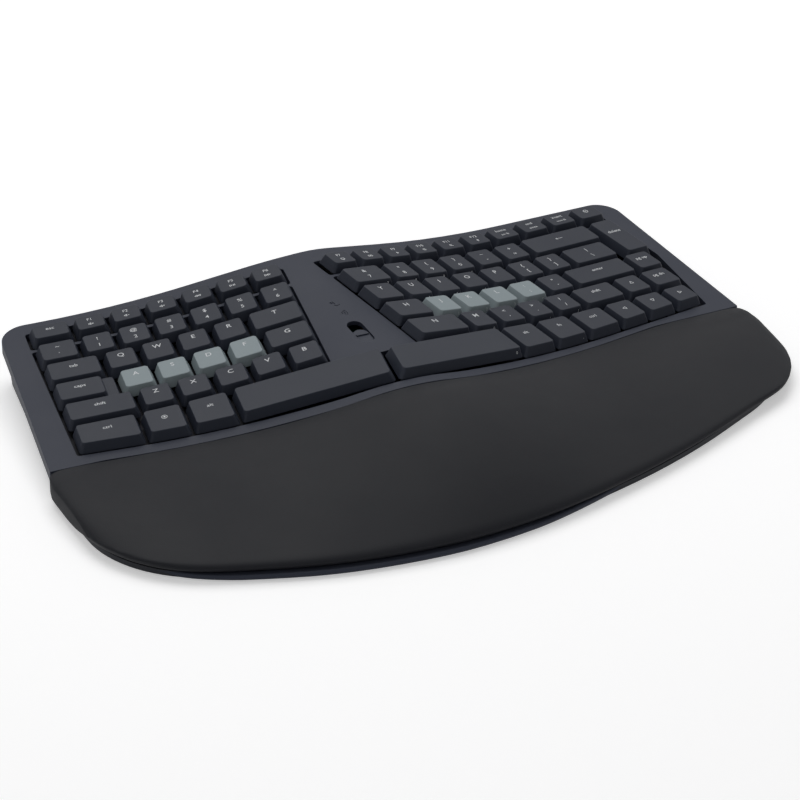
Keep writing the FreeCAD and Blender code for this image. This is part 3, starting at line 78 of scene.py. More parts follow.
# What is printed on each key of a node, row by row from the back and left to right in a row.
# A key has a list of marks: a word or the name of a sign, and the place on the key.
LEGENDS = {
    "escape_key": [[("esc", "word")]],
    "function_keys_f1_f6": [
        [("F1", "back"), ("mute", "front_sign")],
        [("F2", "back"), ("quieter", "front_sign")],
        [("F3", "back"), ("louder", "front_sign")],
        [("F4", "back"), ("rewind", "front_sign")],
        [("F5", "back"), ("play", "front_sign")],
        [("F6", "back"), ("forward", "front_sign")],
    ],
    "tilde_key": [[("~", "back"), ("`", "front")]],
    "number_keys_1_6": [
        [("!", "back"), ("1", "front")],
        [("@", "back"), ("2", "front")],
        [("#", "back"), ("3", "front")],
        [("$", "back"), ("4", "front")],
        [("%", "back"), ("5", "front")],
        [("^", "back"), ("6", "front")],
    ],
    "tab_key": [[("tab", "word")]],
    "letter_keys_q_r": [[("Q", "letter")], [("W", "letter")], [("E", "letter")], [("R", "letter")]],
    "t_and_g_keys": [[("T", "letter")], [("G", "letter")]],
    "caps_lock_key": [[("caps", "word")]],
    "home_keys_a_f": [[("A", "letter")], [("S", "letter")], [("D", "letter")], [("F", "letter")]],
    "left_shift_key": [[("shift", "word")]],
    "letter_keys_z_b": [
        [("Z", "letter")],
        [("X", "letter")],
        [("C", "letter")],
        [("V", "letter")],
        [("B", "letter")],
    ],
    "left_control_key": [[("ctrl", "word")]],
    "system_key": [[("system", "sign")]],
    "left_alt_key": [[("alt", "word")]],
    "function_keys_f7_f12": [
        [("F7", "back"), ("screen", "front_sign")],
        [("F8", "back"), ("split_view", "front_sign")],
        [("F9", "back"), ("dimmer", "front_sign")],
        [("F10", "back"), ("brighter", "front_sign")],
        [("F11", "back"), ("search", "front_sign")],
        [("F12", "back"), ("lamp", "front_sign")],
    ],
    "editing_keys": [
        [("home", "back"), ("scr lk", "front_small")],
        [("end", "back"), ("pause", "front_small")],
        [("insert", "back"), ("num lk", "front_small")],
        [("circle", "sign")],
    ],
    "number_keys_7_equals": [
        [("&", "back"), ("7", "front"), ("7", "wall")],
        [("*", "back"), ("8", "front"), ("8", "wall")],
        [("(", "back"), ("9", "front"), ("9", "wall")],
        [(")", "back"), ("0", "front"), ("*", "wall")],
        [("_", "back"), ("-", "front")],
        [("+", "back"), ("=", "front")],
    ],
    "backspace_key": [[("arrow", "sign")]],
    "delete_key": [[("delete", "word")]],
    "y_key": [[("Y", "letter")]],
    "letter_keys_u_bracket": [
        [("U", "letter"), ("4", "wall")],
        [("I", "letter"), ("5", "wall")],
        [("O", "letter"), ("6", "wall")],
        [("P", "letter"), ("-", "wall")],
        [("{", "back"), ("[", "front")],
        [("}", "back"), ("]", "front")],
    ],
    "backslash_key": [[("|", "back"), ("\\", "front")]],
    "h_key": [[("H", "letter")]],
    "home_keys_j_semicolon": [
        [("J", "letter"), ("1", "wall")],
        [("K", "letter"), ("2", "wall")],
        [("L", "letter"), ("3", "wall")],
        [(":", "back"), (";", "front"), ("+", "wall")],
    ],
    "quote_key": [[('"', "back"), ("'", "front")]],
    "enter_key": [[("enter", "word")]],
    "page_keys": [[("pg up", "word")], [("pg dn", "word")]],
    "n_key": [[("N", "letter")]],
    "letter_keys_m_slash": [
        [("M", "letter"), ("0", "wall")],
        [("<", "back"), (",", "front")],
        [(">", "back"), (".", "front"), (".", "wall")],
        [("?", "back"), ("/", "front"), ("/", "wall")],
    ],
    "right_shift_key": [[("shift", "word")]],
    "arrow_keys": [[("up", "sign")], [("left", "sign")], [("down", "sign")], [("right", "sign")]],
    "right_space_key": [[("0", "wall")]],
    "right_alt_key": [[("alt", "word")]],
    "function_shift_key": [[("fn", "word"), (".", "wall")]],
    "right_control_key": [[("ctrl", "word")]],
}
ACCENT_NODES = ("home_keys_a_f", "home_keys_j_semicolon")
KEY_NODES = tuple(sorted(LEGENDS)) + ("left_space_key",)


# Settings


def length(name, description, default, low, high):
    """A setting in metres."""
    return bpy.props.FloatProperty(
        name=name, description=description, default=default, min=low, max=high, unit="LENGTH", precision=5,
    )


class PlasticSettings(bpy.types.PropertyGroup):
    """Colours and texture of the moulded plastic parts"""

    key_colour: bpy.props.FloatVectorProperty(
        name="Key colour", description="Charcoal of the key caps", default=(0.023, 0.0275, 0.041), size=3,
        min=0.0, max=1.0, subtype="COLOR",
    )
    accent_colour: bpy.props.FloatVectorProperty(
        name="Home key colour", description="Grey green of the eight home keys", default=(0.3, 0.355, 0.375),
        size=3, min=0.0, max=1.0, subtype="COLOR",
    )
    deck_colour: bpy.props.FloatVectorProperty(
        name="Deck colour", description="Charcoal of the deck", default=(0.032, 0.037, 0.055), size=3,
        min=0.0, max=1.0, subtype="COLOR",
    )
    case_colour: bpy.props.FloatVectorProperty(
        name="Case colour", description="Colour of the bottom case and the feet",
        default=(0.03, 0.032, 0.039), size=3, min=0.0, max=1.0, subtype="COLOR",
    )
    grain_size: length(
        "Grain size", "Size of the moulded spark texture",
        0.35 * MM, 0.05 * MM, 3 * MM,
    )
    edge_radius: length(
        "Edge radius", "Radius that catches the light on moulded edges",
        0.4 * MM, 0.05 * MM, 2 * MM,
    )


class LegendSettings(bpy.types.PropertyGroup):
    """Sizes and places of the printed marks"""

    ink_colour: bpy.props.FloatVectorProperty(
        name="Ink colour", description="White of the printed marks", default=(0.8, 0.82, 0.84), size=3,
        min=0.0, max=1.0, subtype="COLOR",
    )
    ink_height: length(
        "Ink height", "How far the print stands on the cap",
        0.03 * MM, 0.005 * MM, 0.2 * MM,
    )
    letter_size: length("Letter size", "Type size of single letters", 4.3 * MM, 1 * MM, 12 * MM)
    word_size: length("Word size", "Type size of lower case words", 3.3 * MM, 1 * MM, 12 * MM)
    digit_size: length("Digit size", "Type size of digits and signs", 3.7 * MM, 1 * MM, 12 * MM)
    function_size: length("Function size", "Type size on the back row", 2.9 * MM, 1 * MM, 12 * MM)
    small_size: length(
        "Small size", "Type size of second words and wall marks",
        2.2 * MM, 0.5 * MM, 8 * MM,
    )
    sign_size: length("Sign size", "Width of drawn signs", 3.4 * MM, 1 * MM, 12 * MM)
    stroke: length("Stroke", "Line width of drawn signs", 0.34 * MM, 0.05 * MM, 2 * MM)
    back_share: bpy.props.FloatProperty(
        name="Back place", description="Place of the back marks, as a share of the cap from its back edge",
        default=0.3, min=0.0, max=1.0, subtype="FACTOR",
    )
    front_share: bpy.props.FloatProperty(
        name="Front place", description="Place of the front marks, as a share of the cap from its back edge",
        default=0.7, min=0.0, max=1.0, subtype="FACTOR",
    )
    splay: bpy.props.FloatProperty(
        name="Splay", description="Turn of each half of the key field", default=math.radians(9.8),
        min=0.0, max=math.radians(30), subtype="ANGLE",
    )


class CushionSettings(bpy.types.PropertyGroup):
    """Form and cover of the palm cushion"""

    cover_colour: bpy.props.FloatVectorProperty(
        name="Cover colour", description="Near black of the cover",
        default=(0.0135, 0.0145, 0.0185), size=3,
        min=0.0, max=1.0, subtype="COLOR",
    )
    sections: bpy.props.IntProperty(
        name="Sections", description="Cross sections along the cushion", default=128, min=24, max=600,
    )
    steps: bpy.props.IntProperty(
        name="Steps", description="Points over each section from the seam to the lower edge",
        default=26, min=10,
        max=120,
    )
    end_dome: length(
        "End dome", "How far both ends of the cover stand out",
        0.8 * MM, 0.0, 4 * MM,
    )
    grain_size: length(
        "Leather grain", "Size of the cells of the cover's grain",
        0.9 * MM, 0.1 * MM, 6 * MM,
    )


class StageSettings(bpy.types.PropertyGroup):
    """Camera, lamps and floor"""

    camera_place: bpy.props.FloatVectorProperty(
        name="Camera place", description="Where the camera stands",
        default=(-666.48 * MM, -1308.24 * MM, 784.13 * MM), size=3, unit="LENGTH", precision=5,
    )
    camera_target: bpy.props.FloatVectorProperty(
        name="Camera target", description="What the camera looks at",
        default=(-31.16 * MM, -44.73 * MM, 35.0 * MM), size=3, unit="LENGTH", precision=5,
    )
    lens: bpy.props.FloatProperty(
        name="Lens", description="Focal length on a 36 mm sensor", default=146.45, min=20.0, max=400.0,
        unit="CAMERA",
    )
    key_power: bpy.props.FloatProperty(
        name="Overhead lamp", description="Power of the large lamp over the back", default=19.0, min=0.0,
        max=500.0, unit="POWER",
    )
    fill_power: bpy.props.FloatProperty(
        name="Fill lamp", description="Power of the soft lamp beside the camera", default=1.6, min=0.0,
        max=500.0, unit="POWER",
    )
    world_light: bpy.props.FloatProperty(
        name="Room light", description="Level of the even light from all sides",
        default=0.22, min=0.0, max=2.0,
    )
    floor_glow: bpy.props.FloatProperty(
        name="Floor glow", description="What the floor adds where the camera sees it", default=0.42, min=0.0,
        max=1.0,
    )
    floor_colour: bpy.props.FloatVectorProperty(
        name="Floor colour", description="Pale colour of the floor", default=(0.9, 0.9, 0.905), size=3,
        min=0.0, max=1.0, subtype="COLOR",
    )


SETTINGS = {
    "keyboard_plastic": PlasticSettings,
    "keyboard_legends": LegendSettings,
    "keyboard_cushion": CushionSettings,
    "keyboard_stage": StageSettings,
}


# Shader node groups


def make_group(name, inputs, outputs):
    group = bpy.data.node_groups.new(name, "ShaderNodeTree")
    for kind, socket, value in inputs:
        made = group.interface.new_socket(name=socket, in_out="INPUT", socket_type=kind)
        made.default_value = value
    for kind, socket in outputs:
        group.interface.new_socket(name=socket, in_out="OUTPUT", socket_type=kind)
    entry = group.nodes.new("NodeGroupInput")
    leave = group.nodes.new("NodeGroupOutput")
    return group, entry, leave


def add_node(tree, kind, settings=None, inputs=None):
    node = tree.nodes.new(kind)
    for key, value in (settings or {}).items():
        setattr(node, key, value)
    for key, value in (inputs or {}).items():
        if isinstance(value, bpy.types.NodeSocket):
            tree.links.new(value, node.inputs[key])
        else:
            node.inputs[key].default_value = value
    return node


def math_node(tree, operation, first, second=0.0):
    return add_node(tree, "ShaderNodeMath", {"operation": operation}, {0: first, 1: second}).outputs[0]


def mapped(tree, value, low, high):
    made = add_node(tree, "ShaderNodeMapRange", None, {"Value": value, "To Min": low, "To Max": high})
    return made.outputs["Result"]


def blended(tree, share, first, second, blend_type="MIX"):
    mix = add_node(tree, "ShaderNodeMix", {"data_type": "RGBA", "blend_type": blend_type}, {0: share})
    for index, value in ((6, first), (7, second)):
        if isinstance(value, bpy.types.NodeSocket):
            tree.links.new(value, mix.inputs[index])
        else:
            mix.inputs[index].default_value = value
    return mix.outputs[2]


def make_moulded_grain():
    """Spark texture and cloudy tone of moulded plastic."""
    group, entry, leave = make_group(
        "moulded_grain",
        [
            ("NodeSocketColor", "Colour", (0.1, 0.1, 0.1, 1.0)),
            ("NodeSocketFloat", "Cells per metre", 2800.0),
            ("NodeSocketFloat", "Tone spread", 0.06),
            ("NodeSocketFloat", "Roughness low", 0.45),
            ("NodeSocketFloat", "Roughness high", 0.6),
        ],
        [("NodeSocketColor", "Colour"), ("NodeSocketFloat", "Roughness"), ("NodeSocketFloat", "Height")],
    )
    place = add_node(group, "ShaderNodeTexCoord").outputs["Object"]
    fine = add_node(group, "ShaderNodeTexNoise", None, {
        "Vector": place, "Scale": entry.outputs[1], "Detail": 3.0,
    })
    cloud = add_node(group, "ShaderNodeTexNoise", None, {"Vector": place, "Scale": 38.0, "Detail": 4.0})
    specks = add_node(group, "ShaderNodeTexVoronoi", None, {"Vector": place, "Scale": entry.outputs[1]})
    darker = blended(group, entry.outputs["Tone spread"], entry.outputs["Colour"], (0.0, 0.0, 0.0, 1.0))
    tone = blended(group, cloud.outputs[0], darker, entry.outputs["Colour"])
    low, high = entry.outputs["Roughness low"], entry.outputs["Roughness high"]
    roughness = mapped(group, math_node(group, "ADD", math_node(group, "MULTIPLY", fine.outputs[0], 0.5),
                                        math_node(group, "MULTIPLY", cloud.outputs[0], 0.5)), low, high)
    height = math_node(group, "ADD", math_node(group, "MULTIPLY", fine.outputs[0], 0.7),
                       math_node(group, "MULTIPLY", specks.outputs["Distance"], 0.3))
    group.links.new(tone, leave.inputs["Colour"])
    group.links.new(roughness, leave.inputs["Roughness"])
    group.links.new(height, leave.inputs["Height"])
    return group


def make_edge_rub_and_highlight():
    """Softened normal at moulded edges, and a mask of those edges for their painted highlight and rubbing
    wear.
    """
    group, entry, leave = make_group(
        "edge_rub_and_highlight",
        [("NodeSocketFloat", "Radius", 0.0004), ("NodeSocketFloat", "Gain", 4.0)],
        [("NodeSocketFloat", "Mask"), ("NodeSocketVector", "Normal")],
    )
    bevel = add_node(group, "ShaderNodeBevel", {"samples": 6}, {"Radius": entry.outputs["Radius"]})
    flat = add_node(group, "ShaderNodeNewGeometry").outputs["Normal"]
    across = add_node(group, "ShaderNodeVectorMath", {"operation": "DOT_PRODUCT"},
                      {0: bevel.outputs[0], 1: flat}).outputs["Value"]
    turn = math_node(group, "SUBTRACT", 1.0, across)
    mask = add_node(group, "ShaderNodeMath", {"operation": "MULTIPLY", "use_clamp": True},
                    {0: turn, 1: entry.outputs["Gain"]}).outputs[0]
    group.links.new(mask, leave.inputs["Mask"])
    group.links.new(bevel.outputs[0], leave.inputs["Normal"])
    return group


def make_dust():
    """Light dust that settles on what faces up."""
    group, entry, leave = make_group(
        "settled_dust",
        [("NodeSocketFloat", "Amount", 0.1)],
        [("NodeSocketFloat", "Mask")],
    )
    place = add_node(group, "ShaderNodeTexCoord").outputs["Object"]
    normal = add_node(group, "ShaderNodeNewGeometry").outputs["Normal"]
    up = add_node(group, "ShaderNodeSeparateXYZ", None, {0: normal}).outputs["Z"]
    cloud = add_node(group, "ShaderNodeTexNoise", None, {"Vector": place, "Scale": 22.0, "Detail": 6.0})
    power = {"operation": "POWER", "use_clamp": True}
    facing = add_node(group, "ShaderNodeMath", power, {0: up, 1: 3.0}).outputs[0]
    patchy = math_node(group, "MULTIPLY", facing, cloud.outputs[0])
    group.links.new(math_node(group, "MULTIPLY", patchy, entry.outputs["Amount"]), leave.inputs["Mask"])
    return group


def make_leather_grain():
    """Pebbled cells, pores and slow tone changes of the cushion cover, with painted shade in the creases
    between the cells.
    """
    group, entry, leave = make_group(
        "leather_grain",
        [
            ("NodeSocketColor", "Colour", (0.05, 0.05, 0.05, 1.0)),
            ("NodeSocketFloat", "Cells per metre", 1100.0),
            ("NodeSocketFloat", "Roughness low", 0.5),
            ("NodeSocketFloat", "Roughness high", 0.66),
        ],
        [("NodeSocketColor", "Colour"), ("NodeSocketFloat", "Roughness"), ("NodeSocketFloat", "Height")],
    )
    place = add_node(group, "ShaderNodeTexCoord").outputs["Object"]
    cells = add_node(group, "ShaderNodeTexVoronoi", {"feature": "DISTANCE_TO_EDGE"},
                     {"Vector": place, "Scale": entry.outputs["Cells per metre"]})
    crease_depth_and_shade = add_node(group, "ShaderNodeMapRange", None,
                      {"Value": cells.outputs["Distance"], "From Max": 0.22}).outputs["Result"]
    pores = add_node(group, "ShaderNodeTexNoise", None, {"Vector": place, "Scale": 5200.0, "Detail": 2.0})
    slow = add_node(group, "ShaderNodeTexNoise", None, {"Vector": place, "Scale": 14.0, "Detail": 3.0})
    height = math_node(group, "ADD", math_node(group, "MULTIPLY", crease_depth_and_shade, 0.7),
                       math_node(group, "MULTIPLY", pores.outputs[0], 0.3))
    darker = blended(group, 0.22, entry.outputs["Colour"], (0.0, 0.0, 0.0, 1.0))
    worn = blended(group, slow.outputs[0], darker, entry.outputs["Colour"])
    # Painted shade: the creases between the cells are painted darker.
    colour = blended(group, crease_depth_and_shade, darker, worn)
    lowest, highest = entry.outputs["Roughness low"], entry.outputs["Roughness high"]
    roughness = mapped(group, slow.outputs[0], lowest, highest)
    group.links.new(colour, leave.inputs["Colour"])
    group.links.new(roughness, leave.inputs["Roughness"])
    group.links.new(height, leave.inputs["Height"])
    return group


def make_drawn_metal():
    """Drawn lines and tarnish of sheet and wire."""
    group, entry, leave = make_group(
        "drawn_metal",
        [("NodeSocketColor", "Colour", (0.5, 0.5, 0.5, 1.0)), ("NodeSocketFloat", "Roughness", 0.35)],
        [("NodeSocketColor", "Colour"), ("NodeSocketFloat", "Roughness"), ("NodeSocketFloat", "Height")],
    )
    place = add_node(group, "ShaderNodeTexCoord").outputs["Object"]
    stretched = add_node(group, "ShaderNodeMapping", None, {"Vector": place, "Scale": (60.0, 3000.0, 3000.0)})
    lines = add_node(group, "ShaderNodeTexNoise", None, {"Vector": stretched.outputs[0], "Scale": 1.0})
    stain = add_node(group, "ShaderNodeTexNoise", None, {"Vector": place, "Scale": 90.0, "Detail": 5.0})
    darker = blended(group, 0.3, entry.outputs["Colour"], (0.0, 0.0, 0.0, 1.0))
    colour = blended(group, stain.outputs[0], darker, entry.outputs["Colour"])
    rougher = math_node(group, "ADD", entry.outputs["Roughness"], 0.18)
    group.links.new(colour, leave.inputs["Colour"])
    roughness = mapped(group, lines.outputs[0], entry.outputs["Roughness"], rougher)
    group.links.new(roughness, leave.inputs["Roughness"])
    group.links.new(lines.outputs[0], leave.inputs["Height"])
    return group


GROUP_MAKERS = {
    "moulded_grain": make_moulded_grain,
    "edge_rub_and_highlight": make_edge_rub_and_highlight,
    "settled_dust": make_dust,
    "leather_grain": make_leather_grain,
    "drawn_metal": make_drawn_metal,
}


def effect(tree, name, inputs):
    group = bpy.data.node_groups.get(name) or GROUP_MAKERS[name]()
    node = tree.nodes.new("ShaderNodeGroup")
    node.node_tree = group
    for key, value in inputs.items():
        node.inputs[key].default_value = value
    return node


# Materials


def start_material(name):
    material = bpy.data.materials.new(name)
    material.use_nodes = True
    tree = material.node_tree
    shader = tree.nodes["Principled BSDF"]
    return material, tree, shader


def relief(tree, shader, height, strength, depth, normal=None):
    inputs = {"Strength": strength, "Distance": depth, "Height": height}
    if normal is not None:
        inputs["Normal"] = normal
    bump = add_node(tree, "ShaderNodeBump", None, inputs)
    tree.links.new(bump.outputs[0], shader.inputs["Normal"])


# edge is the share of the painted highlight and rubbing wear on moulded edges.
def moulded_plastic(
    name, colour, rough=(0.45, 0.6), tone=0.1, dust=0.05, grain=0.25, edge=0.35, specular=0.16,
):
    """Textured plastic whose edges are painted a little lighter, as a painted highlight with some rubbing
    wear, and get smoother normals.
    """
    plastic = bpy.context.scene.keyboard_plastic
    material, tree, shader = start_material(name)
    surface = effect(tree, "moulded_grain", {
        "Colour": (*colour, 1.0),
        "Cells per metre": 1.0 / plastic.grain_size,
        "Tone spread": tone,
        "Roughness low": rough[0],
        "Roughness high": rough[1],
    })
    rub_and_highlight = effect(tree, "edge_rub_and_highlight", {"Radius": plastic.edge_radius, "Gain": 3.0})
    film = effect(tree, "settled_dust", {"Amount": dust})
    # Painted highlight: moulded edges are painted lighter than the plastic, partly as rubbing wear.
    light = tuple(min(1.0, c * 1.9 + 0.01) for c in colour)
    edge_highlight_share = math_node(tree, "MULTIPLY", rub_and_highlight.outputs["Mask"], edge)
    highlit_and_worn = blended(tree, edge_highlight_share, surface.outputs["Colour"], (*light, 1.0))
    dusty = blended(tree, film.outputs["Mask"], highlit_and_worn, (0.42, 0.42, 0.43, 1.0))
    tree.links.new(dusty, shader.inputs["Base Color"])
    tree.links.new(surface.outputs["Roughness"], shader.inputs["Roughness"])
    shader.inputs["Specular IOR Level"].default_value = specular
    relief(tree, shader, surface.outputs["Height"], grain, 0.05 * MM, rub_and_highlight.outputs["Normal"])
    return material


def cover_leather(name):
    """Matte leatherette with a pebbled grain."""
    cushion = bpy.context.scene.keyboard_cushion
    material, tree, shader = start_material(name)
    surface = effect(tree, "leather_grain", {
        "Colour": (*cushion.cover_colour, 1.0),
        "Cells per metre": 1.0 / cushion.grain_size,
    })
    film = effect(tree, "settled_dust", {"Amount": 0.03})
    dusty = blended(tree, film.outputs["Mask"], surface.outputs["Colour"], (0.36, 0.35, 0.34, 1.0))
    tree.links.new(dusty, shader.inputs["Base Color"])
    tree.links.new(surface.outputs["Roughness"], shader.inputs["Roughness"])
    shader.inputs["Specular IOR Level"].default_value = 0.12
    shader.inputs["Sheen Weight"].default_value = 0.01
    shader.inputs["Sheen Roughness"].default_value = 0.5
    relief(tree, shader, surface.outputs["Height"], 0.22, 0.09 * MM)
    return material


def printed_ink(name):
    """White print, a little uneven."""
    legends = bpy.context.scene.keyboard_legends
    material, tree, shader = start_material(name)
    surface = effect(tree, "moulded_grain", {
        "Colour": (*legends.ink_colour, 1.0),
        "Cells per metre": 5000.0,
        "Tone spread": 0.12,
        "Roughness low": 0.5,
        "Roughness high": 0.65,
    })
    tree.links.new(surface.outputs["Colour"], shader.inputs["Base Color"])
    tree.links.new(surface.outputs["Roughness"], shader.inputs["Roughness"])
    relief(tree, shader, surface.outputs["Height"], 0.1, 0.01 * MM)
    return material


def bare_metal(name, colour, roughness):
    """Sheet or wire with drawn lines."""
    material, tree, shader = start_material(name)
    surface = effect(tree, "drawn_metal", {"Colour": (*colour, 1.0), "Roughness": roughness})
    tree.links.new(surface.outputs["Colour"], shader.inputs["Base Color"])
    tree.links.new(surface.outputs["Roughness"], shader.inputs["Roughness"])
    shader.inputs["Metallic"].default_value = 1.0
    relief(tree, shader, surface.outputs["Height"], 0.12, 0.02 * MM)
    return material


def paint_nodes(names, material):
    for name in names:
        node = frame["nodes"][name]
        node.data.materials.clear()
        node.data.materials.append(material)


# Finding the tops of the key caps


def separate_solids(mesh):
    """Points, triangles and the solid number of each triangle."""
    count = len(mesh.vertices)
    points = np.zeros(count * 3, np.float64)
    mesh.vertices.foreach_get("co", points)
    points = points.reshape(-1, 3)
    mesh.calc_loop_triangles()
    triangles = np.zeros(len(mesh.loop_triangles) * 3, np.int32)
    mesh.loop_triangles.foreach_get("vertices", triangles)
    keys, merged = np.unique(np.round(points / 1e-6).astype(np.int64), axis=0, return_inverse=True)
    merged = merged.reshape(-1)
    triangles = triangles.reshape(-1, 3)
    welded = merged[triangles]
    label = np.arange(len(keys))
    while True:
        lowest = label[welded].min(axis=1)
        before = label.copy()
        for corner in range(3):
            np.minimum.at(label, welded[:, corner], lowest)
        label = label[label]
        if (label == before).all():
            break
    return points, triangles, label[welded[:, 0]]


def flat_top(corners, splay, lowest_area):
    """Middle, axes, width and depth of the largest flat face that looks up, or None."""
    crossed = np.cross(corners[:, 1] - corners[:, 0], corners[:, 2] - corners[:, 0])
    area = np.linalg.norm(crossed, axis=1) / 2
    normals = crossed / np.maximum(2 * area[:, None], 1e-15)
    up = normals[:, 2] > 0.8
    if not up.any():
        return None
    rounded = np.round(normals[up] * 100).astype(int)
    which = np.unique(rounded, axis=0, return_inverse=True)[1]
    sums = np.bincount(which.reshape(-1), weights=area[up])
    best = int(sums.argmax())
    if sums[best] < lowest_area:
        return None
    member = which.reshape(-1) == best
    chosen = corners[up][member]
    weight = area[up][member]
    normal = Vector((normals[up][member] * weight[:, None]).sum(0)).normalized()
    levels = chosen.mean(axis=1) @ np.array(normal)
    flat = chosen[levels > levels.max() - 0.3 * MM].reshape(-1, 3)
    turn = -splay if flat[:, 0].mean() < SPLIT_X else splay
    row = Vector((math.cos(turn), math.sin(turn), 0.0))
    side = (row - normal * row.dot(normal)).normalized()
    back = normal.cross(side)
    across, along = flat @ np.array(side), flat @ np.array(back)
    level = float((flat @ np.array(normal)).mean())
    middle = (
        side * float(across.min() + across.max()) / 2
        + back * float(along.min() + along.max()) / 2
        + normal * level
    )
    return {
        "middle": middle,
        "side": side,
        "back": back,
        "normal": normal,
        "width": float(np.ptp(across)),
        "depth": float(np.ptp(along)),
        "turn": turn,
    }


def cap_tops(name):
    """The cap tops of a key node, row by row from the back and left to right in a row."""
    splay = bpy.context.scene.keyboard_legends.splay
    points, triangles, solid = separate_solids(frame["nodes"][name].data)
    tops = []
    for number in np.unique(solid):
        top = flat_top(points[triangles[solid == number]], splay, 90 * MM * MM)
        if top is not None:
            tops.append(top)
    if not tops:
        raise RuntimeError(f"no cap top found on {name}")
    for top in tops:
        turn = top["turn"]
        top["across"] = top["middle"].y * math.cos(turn) - top["middle"].x * math.sin(turn)
        top["along"] = top["middle"].x * math.cos(turn) + top["middle"].y * math.sin(turn)
    tops.sort(key=lambda top: -top["across"])
    rows = [[tops[0]]]
    for top in tops[1:]:
        if rows[-1][-1]["across"] - top["across"] > 9 * MM:
            rows.append([])
        rows[-1].append(top)
    return [top for row in rows for top in sorted(row, key=lambda top: top["along"])]


# Marks on the keys


class Outline:
    """Flat marks gathered as points and faces, in metres on the cap's own plane."""

    def __init__(self, stroke):
        self.points = []
        self.faces = []
        self.stroke = stroke

    def polygon(self, corners):
        start = len(self.points)
        self.points.extend(corners)
        self.faces.append(list(range(start, start + len(corners))))

    def bar(self, first, second, width=None):
        half = (width or self.stroke) / 2
        (x0, y0), (x1, y1) = first, second
        length = math.hypot(x1 - x0, y1 - y0)
        nx, ny = -(y1 - y0) / length * half, (x1 - x0) / length * half
        self.polygon([(x0 - nx, y0 - ny), (x1 - nx, y1 - ny), (x1 + nx, y1 + ny), (x0 + nx, y0 + ny)])

    def loop(self, corners):
        for index, corner in enumerate(corners):
            self.bar(corner, corners[(index + 1) % len(corners)])

    def ring(self, x, y, radius, start=0.0, end=360.0):
        steps = 20
        angles = [math.radians(start + (end - start) * step / steps) for step in range(steps + 1)]
        inner, outer = radius - self.stroke / 2, radius + self.stroke / 2
        for first, second in zip(angles, angles[1:]):
            self.polygon([
                (x + inner * math.cos(first), y + inner * math.sin(first)),
                (x + outer * math.cos(first), y + outer * math.sin(first)),
                (x + outer * math.cos(second), y + outer * math.sin(second)),
                (x + inner * math.cos(second), y + inner * math.sin(second)),
            ])

    def disc(self, x, y, radius):
        angles = [math.radians(step * 20) for step in range(18)]
        self.polygon([(x + radius * math.cos(a), y + radius * math.sin(a)) for a in angles])

    def triangle(self, x, y, size, direction):
        turn = math.radians(direction)
        corners = [(0.55 * size, 0.0), (-0.45 * size, 0.5 * size), (-0.45 * size, -0.5 * size)]
        self.loop([
            (x + u * math.cos(turn) - v * math.sin(turn), y + u * math.sin(turn) + v * math.cos(turn))
            for u, v in corners
        ])


